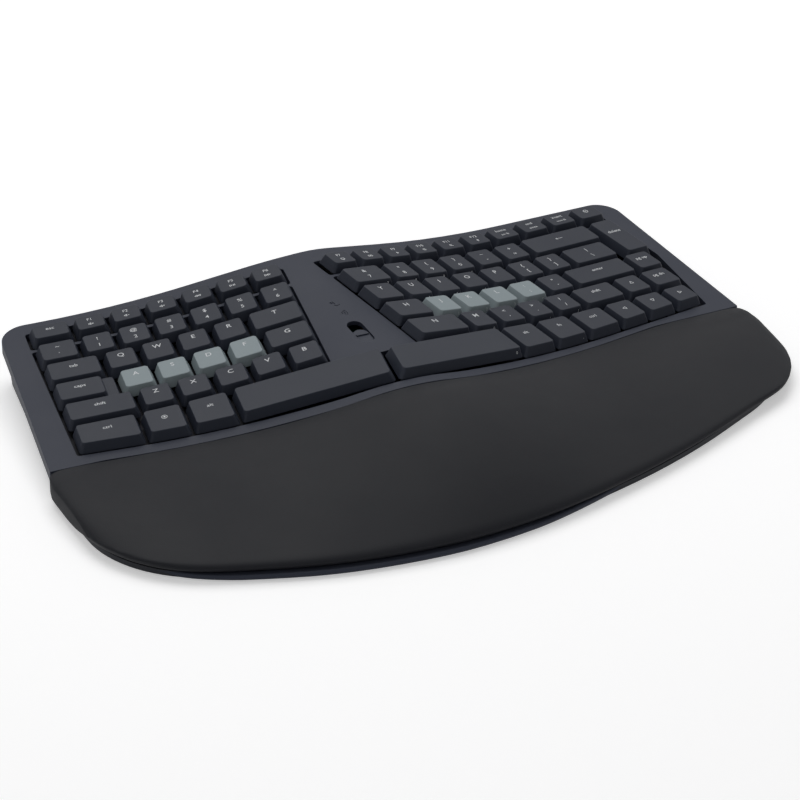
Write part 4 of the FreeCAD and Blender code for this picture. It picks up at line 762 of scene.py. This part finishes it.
def draw_sign(name, size, stroke):
    """One of the drawn signs, about its own middle."""
    mark = Outline(stroke)
    half = size / 2
    if name in ("mute", "quieter", "louder"):
        mark.loop([(-0.75 * half, -0.2 * half), (-0.4 * half, -0.2 * half), (-0.05 * half, -0.55 * half),
                   (-0.05 * half, 0.55 * half), (-0.4 * half, 0.2 * half), (-0.75 * half, 0.2 * half)])
        if name == "mute":
            mark.bar((0.25 * half, -0.25 * half), (0.75 * half, 0.25 * half))
            mark.bar((0.25 * half, 0.25 * half), (0.75 * half, -0.25 * half))
        else:
            mark.bar((0.25 * half, 0.0), (0.8 * half, 0.0))
        if name == "louder":
            mark.bar((0.52 * half, -0.28 * half), (0.52 * half, 0.28 * half))
    elif name in ("rewind", "forward"):
        direction = 180 if name == "rewind" else 0
        mark.triangle(-0.45 * half, 0.0, 0.85 * half, direction)
        mark.triangle(0.5 * half, 0.0, 0.85 * half, direction)
    elif name == "play":
        mark.triangle(-0.5 * half, 0.0, 0.85 * half, 0)
        mark.bar((0.3 * half, -0.45 * half), (0.3 * half, 0.45 * half))
        mark.bar((0.7 * half, -0.45 * half), (0.7 * half, 0.45 * half))
    elif name == "screen":
        mark.loop([(-0.6 * half, -0.3 * half), (0.6 * half, -0.3 * half), (0.6 * half, 0.5 * half),
                   (-0.6 * half, 0.5 * half)])
        mark.bar((-0.3 * half, -0.6 * half), (0.3 * half, -0.6 * half))
    elif name == "split_view":
        for shift in (-0.45 * half, 0.45 * half):
            mark.loop([(shift - 0.3 * half, -0.35 * half), (shift + 0.3 * half, -0.35 * half),
                       (shift + 0.3 * half, 0.35 * half), (shift - 0.3 * half, 0.35 * half)])
    elif name in ("dimmer", "brighter"):
        inner = 0.22 * half if name == "dimmer" else 0.32 * half
        mark.ring(0.0, 0.0, inner)
        for step in range(8):
            angle = math.radians(45 * step)
            first = (1.7 * inner * math.cos(angle), 1.7 * inner * math.sin(angle))
            second = (2.4 * inner * math.cos(angle), 2.4 * inner * math.sin(angle))
            mark.bar(first, second, 0.7 * stroke)
    elif name == "search":
        mark.ring(-0.15 * half, 0.1 * half, 0.35 * half)
        mark.bar((0.12 * half, -0.18 * half), (0.55 * half, -0.6 * half))
    elif name == "lamp":
        mark.disc(0.0, 0.05 * half, 0.38 * half)
        mark.bar((-0.2 * half, -0.55 * half), (0.2 * half, -0.55 * half))
    elif name == "circle":
        mark.ring(0.0, 0.0, 0.6 * half)
        mark.bar((-0.3 * half, 0.0), (0.3 * half, 0.0), 1.6 * stroke)
    elif name == "system":
        mark.disc(0.0, 0.0, 0.26 * half)
        mark.ring(0.0, 0.0, 0.6 * half)
    elif name == "arrow":
        mark.bar((-1.0 * half, 0.0), (1.0 * half, 0.0), 0.8 * stroke)
        mark.bar((-1.0 * half, 0.0), (-0.55 * half, 0.35 * half))
        mark.bar((-1.0 * half, 0.0), (-0.55 * half, -0.35 * half))
    elif name in ("up", "down", "left", "right"):
        mark.triangle(0.0, 0.0, 0.95 * half, {"right": 0, "up": 90, "left": 180, "down": 270}[name])
    else:
        raise RuntimeError(f"no drawn sign called {name}")
    return mark.points, mark.faces


WRITTEN = {}


def write_word(text, size):
    """Points and faces of a word, about the middle of its own letters' height."""
    if (text, size) not in WRITTEN:
        curve = bpy.data.curves.new("legend_type", "FONT")
        curve.body = text
        curve.size = size
        curve.align_x = "CENTER"
        curve.resolution_u = 3
        curve.offset = 0.004 * size
        holder = bpy.data.objects.new("legend_type", curve)
        bpy.context.scene.collection.objects.link(holder)
        bpy.context.view_layer.update()
        mesh = bpy.data.meshes.new_from_object(holder.evaluated_get(bpy.context.evaluated_depsgraph_get()))
        points = [(v.co.x * 1.06, v.co.y) for v in mesh.vertices]
        faces = [list(p.vertices) for p in mesh.polygons]
        bpy.data.objects.remove(holder)
        bpy.data.curves.remove(curve)
        bpy.data.meshes.remove(mesh)
        lift = 0.36 * size if not text[0].islower() else 0.28 * size
        if len(text) == 1 and not text.isalnum():
            lows = [y for x, y in points]
            lift = (min(lows) + max(lows)) / 2
        WRITTEN[(text, size)] = ([(x, y - lift) for x, y in points], faces)
    return WRITTEN[(text, size)]


def mark_of(text, place, settings, on_function_row):
    """Flat shape of a mark and its middle, as a share of the cap's depth from the back edge."""
    if place in ("sign", "front_sign"):
        size = settings.sign_size * (1.35 if place == "sign" else 1.0)
        share = settings.front_share if place == "front_sign" else 0.42
        return (*draw_sign(text, size, settings.stroke), share)
    if place == "word":
        return (*write_word(text, settings.word_size), 0.37)
    if place == "letter":
        return (*write_word(text, settings.letter_size), settings.back_share)
    if place == "front_small":
        return (*write_word(text, settings.small_size), settings.front_share)
    size = settings.function_size if on_function_row else settings.digit_size
    share = settings.back_share if place == "back" else settings.front_share
    return (*write_word(text, size), share)


def legend_mesh(name, marks_of_keys, settings):
    points, faces = [], []
    on_function_row = name.startswith(("function_keys", "editing"))
    tops = cap_tops(name)
    if len(tops) != len(marks_of_keys):
        raise RuntimeError(f"{name} has {len(tops)} caps and {len(marks_of_keys)} legends")
    for top, marks in zip(tops, marks_of_keys):
        for text, place in marks:
            side, back, normal = top["side"], top["back"], top["normal"]
            if place == "wall":
                flat, loops = write_word(text, settings.small_size)
                lean = math.atan2(1.9, 5.4)
                wall_up = back * math.sin(lean) + normal * math.cos(lean)
                wall_out = normal * math.sin(lean) - back * math.cos(lean)
                origin = (
                    top["middle"]
                    + side * (top["width"] / 2 - 2.4 * MM)
                    - back * (top["depth"] / 2 + 0.4 * MM)
                    - wall_up * 2.4 * MM
                )
                back, normal = wall_up, wall_out
                lift = settings.ink_height + 0.02 * MM
            else:
                flat, loops, share = mark_of(text, place, settings, on_function_row)
                origin = top["middle"] + back * (0.5 - share) * top["depth"]
                lift = settings.ink_height
            start = len(points)
            points.extend(origin + side * x + back * y + normal * lift for x, y in flat)
            faces.extend([start + index for index in loop] for loop in loops)
    mesh = bpy.data.meshes.new(name + "_legends")
    mesh.from_pydata([tuple(p) for p in points], [], faces)
    mesh.update()
    return mesh


def new_piece(mesh, material, body):
    piece = bpy.data.objects.new(mesh.name, mesh)
    bpy.context.scene.collection.objects.link(piece)
    piece.data.materials.clear()
    piece.data.materials.append(material)
    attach(piece, body)
    return piece


# Form of the palm cushion

# Points of a section that lie on its back wall, and how much further out the nose of the cover stands
# along its length, as pairs of the place along X and the distance, in millimetres.
WALL_STEPS = 4
RIGHT_END_FILL = (
    (130, 0.0), (150, 0.9), (160, 2.6), (171, 5.0), (181, 5.4), (189, 5.0), (196, 3.9), (201.7, 1.4),
)
RIGHT_END_WAY = (0.8, -0.6)
LIP_SINK = ((-185, 4.0), (-150, 0.8), (-115, 0.2), (-50, 0.2), (0, 1.2), (60, 4.5))
FRONT_FILL = ((-185, 0.0), (-150, 1.2), (-100, 2.2), (-40, 2.6), (10, 1.6), (50, 0.0))


def cast(tree, start, direction):
    """The first place a ray meets, or None."""
    return tree.ray_cast(Vector(start), Vector(direction), 1.0)[0]


def edge_between(tree, x, inside, outside):
    """Where the form ends between a place over it and a place beside it, both on one cross section."""
    for step in range(16):
        middle = (inside + outside) / 2
        if cast(tree, (x, middle, 0.3), (0, 0, -1)) is None:
            outside = middle
        else:
            inside = middle
    return inside


def section_line(tree, x, low, high):
    """One cross section of the form: its back edge, and points over the top and round the nose."""
    places = [y for y in np.linspace(low.y, high.y, 141) if cast(tree, (x, y, 0.3), (0, 0, -1)) is not None]
    back = edge_between(tree, x, max(places), high.y + 2 * MM)
    front = edge_between(tree, x, min(places), low.y - 2 * MM)
    line = []
    margin = 0.03 * MM
    for step in range(91):
        share = (1 - math.cos(math.pi * step / 90)) / 2
        place = back - margin + (front - back + 2 * margin) * share
        hit = cast(tree, (x, place, 0.3), (0, 0, -1))
        if hit is not None:
            line.append(hit)
    floor_level = low.z + 0.02 * MM
    nose_level = line[-1].z
    for step in range(1, 17):
        level = nose_level + (floor_level - nose_level) * step / 16
        hit = cast(tree, (x, front - 5 * MM, level), (0, 1, 0))
        if hit is not None:
            line.append(hit)
    return line


def stretched(line, lengths):
    """Points at given lengths along a polyline."""
    points = np.array([tuple(p) for p in line])
    reach = np.concatenate([[0.0], np.cumsum(np.linalg.norm(np.diff(points, axis=0), axis=1))])
    wanted = np.minimum(lengths, reach[-1])
    return np.stack([np.interp(wanted, reach, points[:, k]) for k in range(3)], 1)


def line_length(line):
    return sum((second - first).length for first, second in zip(line, line[1:]))


def fuller(row):
    """Moves a section of the cover out at its nose, where the real cushion stands further out."""
    lengths = np.concatenate([[0.0], np.cumsum(np.linalg.norm(np.diff(row, axis=0), axis=1))])
    share = np.clip((lengths - lengths[WALL_STEPS]) / (lengths[-1] - lengths[WALL_STEPS]), 0.0, 1.0)
    ease = share * share * (3 - 2 * share)
    x = row[0, 0] / MM
    side = np.interp(x, [p[0] for p in RIGHT_END_FILL], [p[1] for p in RIGHT_END_FILL]) * MM
    front = np.interp(x, [p[0] for p in FRONT_FILL], [p[1] for p in FRONT_FILL]) * MM
    moved = row.copy()
    moved[:, 0] += ease * side * RIGHT_END_WAY[0]
    moved[:, 1] += ease * side * RIGHT_END_WAY[1] - ease * front
    return moved


def cover_grid(settings):
    """Sections of the cover, each from the foot of its back wall over the seam edge to the lower edge."""
    source = frame["nodes"]["palm_cushion"]
    source.data.calc_loop_triangles()
    corners = [v.co.copy() for v in source.data.vertices]
    triangles = [tuple(t.vertices) for t in source.data.loop_triangles]
    tree = BVHTree.FromPolygons(corners, triangles, epsilon=0.0)
    low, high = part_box("palm_cushion")
    middle, half = (low.x + high.x) / 2, (high.x - low.x) / 2 - 0.1 * MM
    rows = []
    for number in range(settings.sections):
        x = middle + half * math.sin(math.pi * (number / (settings.sections - 1) - 0.5))
        line = section_line(tree, x, low, high)
        length = line_length(line)
        first = np.array([0.0, 0.35, 1.0, 2.4, 5.0]) * MM
        rest = np.linspace(8 * MM, length, settings.steps) if length > 12 * MM else None
        if rest is None:
            first = first * length / (12 * MM)
            rest = np.linspace(0.6 * length, length, settings.steps)
        over = stretched(line, np.concatenate([first, rest]))
        top = line[0]
        wall = [(x, top.y, low.z + (top.z - low.z) * share) for share in (0.0, 0.4, 0.75, 0.93)]
        rows.append(fuller(np.vstack([np.array(wall), over])))
    ends = []
    for row, outward in ((rows[0], -1.0), (rows[-1], 1.0)):
        foot = (row[0] + row[-1]) / 2
        shrinking = []
        for share, stand in ((0.975, 0.45), (0.9, 0.75), (0.6, 0.95), (0.0, 1.0)):
            ring = foot + (row - foot) * share
            ring[:, 0] = row[:, 0] + outward * stand * settings.end_dome
            shrinking.append(ring)
        ends.append(shrinking)
    return np.array(list(reversed(ends[0])) + rows + ends[1])


def lip_mesh(grid):
    """The hard edge that shows under the nose of the cushion along the front."""
    section = (
        (6.0, 4.1), (1.2, 4.1), (-0.2, 4.0), (-0.8, 3.7), (-1.1, 3.2),
        (-0.9, 2.2), (-0.4, 1.2), (0.4, 0.8), (6.0, 0.8),
    )
    noses = [row[np.argmin(row[:, 1])] for row in grid[8:-8]]
    noses = np.array([nose for nose in noses if LIP_SINK[0][0] < nose[0] / MM < LIP_SINK[-1][0]])
    along = np.gradient(noses[:, :2], axis=0)
    along /= np.linalg.norm(along, axis=1, keepdims=True)
    inward = np.stack([-along[:, 1], along[:, 0]], 1)
    points = []
    for number, nose in enumerate(noses):
        sink = np.interp(nose[0] / MM, [p[0] for p in LIP_SINK], [p[1] for p in LIP_SINK])
        for depth, height in section:
            x, y = nose[:2] + inward[number] * (depth + sink) * MM
            points.append((x, y, height * MM))
    steps = len(section)
    faces = []
    for number in range(len(noses) - 1):
        for step in range(steps):
            first = number * steps + step
            second = number * steps + (step + 1) % steps
            faces.append((first, first + steps, second + steps, second))
    faces.append(tuple(range(steps)))
    faces.append(tuple(reversed(range((len(noses) - 1) * steps, len(noses) * steps))))
    mesh = bpy.data.meshes.new("palm_rest_lip")
    mesh.from_pydata(points, [], faces)
    mesh.update()
    return mesh


def cover_mesh(grid):
    count, steps = grid.shape[:2]
    faces = []
    for number in range(count - 1):
        for step in range(steps - 1):
            first = number * steps + step
            faces.append((first, first + 1, first + steps + 1, first + steps))
    mesh = bpy.data.meshes.new("palm_rest_cushion")
    mesh.from_pydata(grid.reshape(-1, 3).tolist(), [], faces)
    mesh.update()
    for face in mesh.polygons:
        face.use_smooth = True
    return mesh


def close_cover(piece):
    """Joins points that lie together, gives the cover its thickness and smooths it."""
    form = bmesh.new()
    form.from_mesh(piece.data)
    bmesh.ops.remove_doubles(form, verts=form.verts, dist=0.01 * MM)
    bmesh.ops.recalc_face_normals(form, faces=form.faces)
    form.to_mesh(piece.data)
    form.free()
    if sum(face.normal.z * face.area for face in piece.data.polygons) < 0:
        piece.data.flip_normals()
    thick = piece.modifiers.new("cover_thickness", "SOLIDIFY")
    thick.thickness = 1.6 * MM
    thick.offset = -1.0
    smooth = piece.modifiers.new("cover_smooth", "SUBSURF")
    smooth.levels = 2
    smooth.render_levels = 2


# Operators


class KEYBOARD_OT_key_caps(bpy.types.Operator):
    """Give the key caps their charcoal and grey green plastic"""

    bl_idname = "keyboard.key_caps"
    bl_label = "Key Caps"

    def execute(self, context):
        plastic = context.scene.keyboard_plastic
        dark = moulded_plastic("key_charcoal", plastic.key_colour, (0.42, 0.55), 0.08, 0.05)
        accent = moulded_plastic("key_grey_green", plastic.accent_colour, (0.38, 0.5), 0.06, 0.03, edge=0.25)
        paint_nodes([n for n in KEY_NODES if n not in ACCENT_NODES], dark)
        paint_nodes(ACCENT_NODES, accent)
        return {"FINISHED"}


class KEYBOARD_OT_key_legends(bpy.types.Operator):
    """Print the letters, words and signs on the key caps"""

    bl_idname = "keyboard.key_legends"
    bl_label = "Key Legends"

    def execute(self, context):
        settings = context.scene.keyboard_legends
        ink = printed_ink("legend_ink")
        for name, marks in LEGENDS.items():
            mesh = legend_mesh(name, marks, settings)
            body = frame["nodes"][name]["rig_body"]
            new_piece(mesh, ink, body)
        return {"FINISHED"}


class KEYBOARD_OT_deck(bpy.types.Operator):
    """Finish the deck, the bottom case, the mode slider and the folding feet"""

    bl_idname = "keyboard.deck"
    bl_label = "Deck and Case"

    def execute(self, context):
        plastic = context.scene.keyboard_plastic
        deck = moulded_plastic("deck_charcoal", plastic.deck_colour, (0.46, 0.58), 0.07, 0.05)
        case = moulded_plastic("case_charcoal", plastic.case_colour, (0.4, 0.55), 0.1, 0.04)
        slider = moulded_plastic("slider_charcoal", plastic.deck_colour, (0.38, 0.5), 0.05, 0.03)
        paint_nodes(["top_deck"], deck)
        paint_nodes(["bottom_case", "palm_support", "left_tilt_foot", "right_tilt_foot"], case)
        paint_nodes(["mode_slider"], slider)
        return {"FINISHED"}


class KEYBOARD_OT_palm_cushion(bpy.types.Operator):
    """Make the padded palm rest in its leatherette cover"""

    bl_idname = "keyboard.palm_cushion"
    bl_label = "Palm Cushion"

    def execute(self, context):
        settings = context.scene.keyboard_cushion
        grid = cover_grid(settings)
        piece = new_piece(cover_mesh(grid), cover_leather("cushion_leather"), "case")
        close_cover(piece)
        plastic = context.scene.keyboard_plastic
        lip_plastic = moulded_plastic("lip_plastic", plastic.deck_colour, (0.5, 0.6), 0.06, 0.03, 0.15, 0.2)
        new_piece(lip_mesh(grid), lip_plastic, "case")
        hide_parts("palm_cushion")
        return {"FINISHED"}


class KEYBOARD_OT_inner_parts(bpy.types.Operator):
    """Finish the switches, plates, boards, battery and fasteners inside"""

    bl_idname = "keyboard.inner_parts"
    bl_label = "Inner Parts"

    def execute(self, context):
        housing = moulded_plastic("switch_black", (0.01, 0.01, 0.011), (0.3, 0.42), 0.08, 0.0)
        laminate = moulded_plastic("board_green", (0.012, 0.07, 0.035), (0.28, 0.4), 0.15, 0.0, 0.12)
        film = moulded_plastic("ribbon_amber", (0.42, 0.27, 0.1), (0.3, 0.45), 0.1, 0.0, 0.1)
        wrap = moulded_plastic("battery_blue", (0.03, 0.05, 0.1), (0.3, 0.4), 0.08, 0.0, 0.1)
        rubber = moulded_plastic("foot_rubber_black", (0.022, 0.022, 0.023), (0.75, 0.9), 0.1, 0.06, 0.5)
        plate = bare_metal("plate_dark_steel", (0.02, 0.02, 0.023), 0.42)
        spring = bare_metal("spring_bright_steel", (0.55, 0.55, 0.57), 0.25)
        screw = bare_metal("screw_black_steel", (0.12, 0.12, 0.125), 0.35)
        shell = bare_metal("socket_bright_steel", (0.6, 0.6, 0.61), 0.28)
        paint_nodes(["left_switch_housings", "right_switch_housings", "mode_switch_body"], housing)
        paint_nodes(["left_circuit_board", "right_circuit_board", "controller_board"], laminate)
        paint_nodes(["ribbon_cables"], film)
        paint_nodes(["battery_pack"], wrap)
        paint_nodes(["rubber_feet"], rubber)
        paint_nodes(["left_key_plate", "right_key_plate"], plate)
        paint_nodes(["switch_springs", "stabiliser_wires"], spring)
        paint_nodes(["case_screws", "board_screws", "foot_hinge_pins"], screw)
        paint_nodes(["cable_socket"], shell)
        return {"FINISHED"}


class KEYBOARD_OT_stage(bpy.types.Operator):
    """Set the pale floor, the lamps and the camera"""

    bl_idname = "keyboard.stage"
    bl_label = "Stage"

    def execute(self, context):
        settings = context.scene.keyboard_stage
        place_camera(context.scene, settings)
        place_lamps(context.scene, settings)
        place_floor(context.scene, settings)
        light_room(context.scene, settings)
        context.scene.view_settings.view_transform = "Standard"
        return {"FINISHED"}


def aimed(place, target):
    """Matrix of a camera or lamp at a place, looking at a target with its top up."""
    ahead = (Vector(target) - Vector(place)).normalized()
    turn = ahead.to_track_quat("-Z", "Y")
    return Matrix.Translation(Vector(place)) @ turn.to_matrix().to_4x4()


def place_camera(scene, settings):
    lens = bpy.data.cameras.new("keyboard_camera")
    lens.lens = settings.lens
    lens.sensor_width = 36.0
    lens.clip_end = 20.0
    camera = bpy.data.objects.new("keyboard_camera", lens)
    scene.collection.objects.link(camera)
    camera.matrix_world = aimed(settings.camera_place, settings.camera_target)
    scene.camera = camera


def place_lamps(scene, settings):
    lamps = (
        ("overhead_lamp", (0.15, 0.75, 1.7), 1.6, settings.key_power),
        ("fill_lamp", (-1.3, -1.2, 1.1), 1.2, settings.fill_power),
    )
    for name, place, size, power in lamps:
        lamp = bpy.data.lights.new(name, "AREA")
        lamp.shape = "SQUARE"
        lamp.size = size
        lamp.energy = power
        holder = bpy.data.objects.new(name, lamp)
        scene.collection.objects.link(holder)
        holder.matrix_world = aimed(place, (0.0, 0.0, 0.0))


def seen_directly(tree):
    """1 for what the camera sees straight, in a mirror or through glass, and 0 for the light it gives."""
    rays = add_node(tree, "ShaderNodeLightPath")
    mirrored = math_node(tree, "ADD", rays.outputs["Is Glossy Ray"], rays.outputs["Is Transmission Ray"])
    total = math_node(tree, "ADD", rays.outputs["Is Camera Ray"], mirrored)
    return math_node(tree, "MINIMUM", total, 1.0)


def place_floor(scene, settings):
    half, rise, steps = 3.0, 2.2, 16
    points, faces = [], []
    lines = [(-half, 0.0), (1.6, 0.0)]
    for step in range(1, steps + 1):
        angle = math.pi / 2 * step / steps
        lines.append((1.6 + 0.8 * math.sin(angle), 0.8 * (1 - math.cos(angle))))
    lines.append((2.4, rise))
    for y, z in lines:
        points.extend([(-half, y, z), (half, y, z)])
    for index in range(len(lines) - 1):
        faces.append((2 * index, 2 * index + 1, 2 * index + 3, 2 * index + 2))
    mesh = bpy.data.meshes.new("studio_floor")
    mesh.from_pydata(points, [], faces)
    for face in mesh.polygons:
        face.use_smooth = True
    mesh.update()
    floor = bpy.data.objects.new("studio_floor", mesh)
    scene.collection.objects.link(floor)
    material, tree, shader = start_material("floor_paper")
    paper = add_node(tree, "ShaderNodeTexNoise", None, {"Scale": 900.0, "Detail": 3.0})
    colour = tuple(settings.floor_colour)
    darker = tuple(0.985 * c for c in colour)
    tone = blended(tree, paper.outputs[0], (*darker, 1.0), (*colour, 1.0))
    tree.links.new(tone, shader.inputs["Base Color"])
    shader.inputs["Roughness"].default_value = 0.85
    shader.inputs["Specular IOR Level"].default_value = 0.1
    shown = math_node(tree, "MULTIPLY", seen_directly(tree), settings.floor_glow)
    tree.links.new(shown, shader.inputs["Emission Strength"])
    shader.inputs["Emission Color"].default_value = (1.0, 1.0, 1.0, 1.0)
    mesh.materials.append(material)


def light_room(scene, settings):
    world = bpy.data.worlds.new("studio_room")
    scene.world = world
    world.use_nodes = True
    tree = world.node_tree
    ground = tree.nodes["Background"]
    ground.inputs["Color"].default_value = (1.0, 1.0, 1.0, 1.0)
    seen = add_node(tree, "ShaderNodeMapRange", None, {
        "Value": seen_directly(tree),
        "To Min": settings.world_light,
        "To Max": 1.0,
    })
    tree.links.new(seen.outputs["Result"], ground.inputs["Strength"])


class KEYBOARD_PT_looks(bpy.types.Panel):
    """Lists the pieces of the keyboard and the stage"""

    bl_idname = "KEYBOARD_PT_looks"
    bl_label = "Keyboard"
    bl_space_type = "VIEW_3D"
    bl_region_type = "UI"
    bl_category = "Keyboard"

    def draw(self, context):
        layout = self.layout
        for operator in OPERATORS:
            layout.operator(operator.bl_idname)
        for name, group in SETTINGS.items():
            box = layout.box()
            for prop in group.__annotations__:
                box.prop(getattr(context.scene, name), prop)


OPERATORS = (
    KEYBOARD_OT_stage,
    KEYBOARD_OT_key_caps,
    KEYBOARD_OT_key_legends,
    KEYBOARD_OT_deck,
    KEYBOARD_OT_palm_cushion,
    KEYBOARD_OT_inner_parts,
)


def register():
    for name, group in SETTINGS.items():
        bpy.utils.register_class(group)
        setattr(bpy.types.Scene, name, bpy.props.PointerProperty(type=group))
    for operator in OPERATORS:
        bpy.utils.register_class(operator)
    bpy.utils.register_class(KEYBOARD_PT_looks)


def unregister():
    bpy.utils.unregister_class(KEYBOARD_PT_looks)
    for operator in reversed(OPERATORS):
        bpy.utils.unregister_class(operator)
    for name, group in reversed(SETTINGS.items()):
        delattr(bpy.types.Scene, name)
        bpy.utils.unregister_class(group)


def main():
    register()
    bpy.ops.keyboard.stage()
    bpy.ops.keyboard.key_caps()
    bpy.ops.keyboard.key_legends()
    bpy.ops.keyboard.deck()
    bpy.ops.keyboard.palm_cushion()
    bpy.ops.keyboard.inner_parts()


if __name__ == "__main__":
    main()
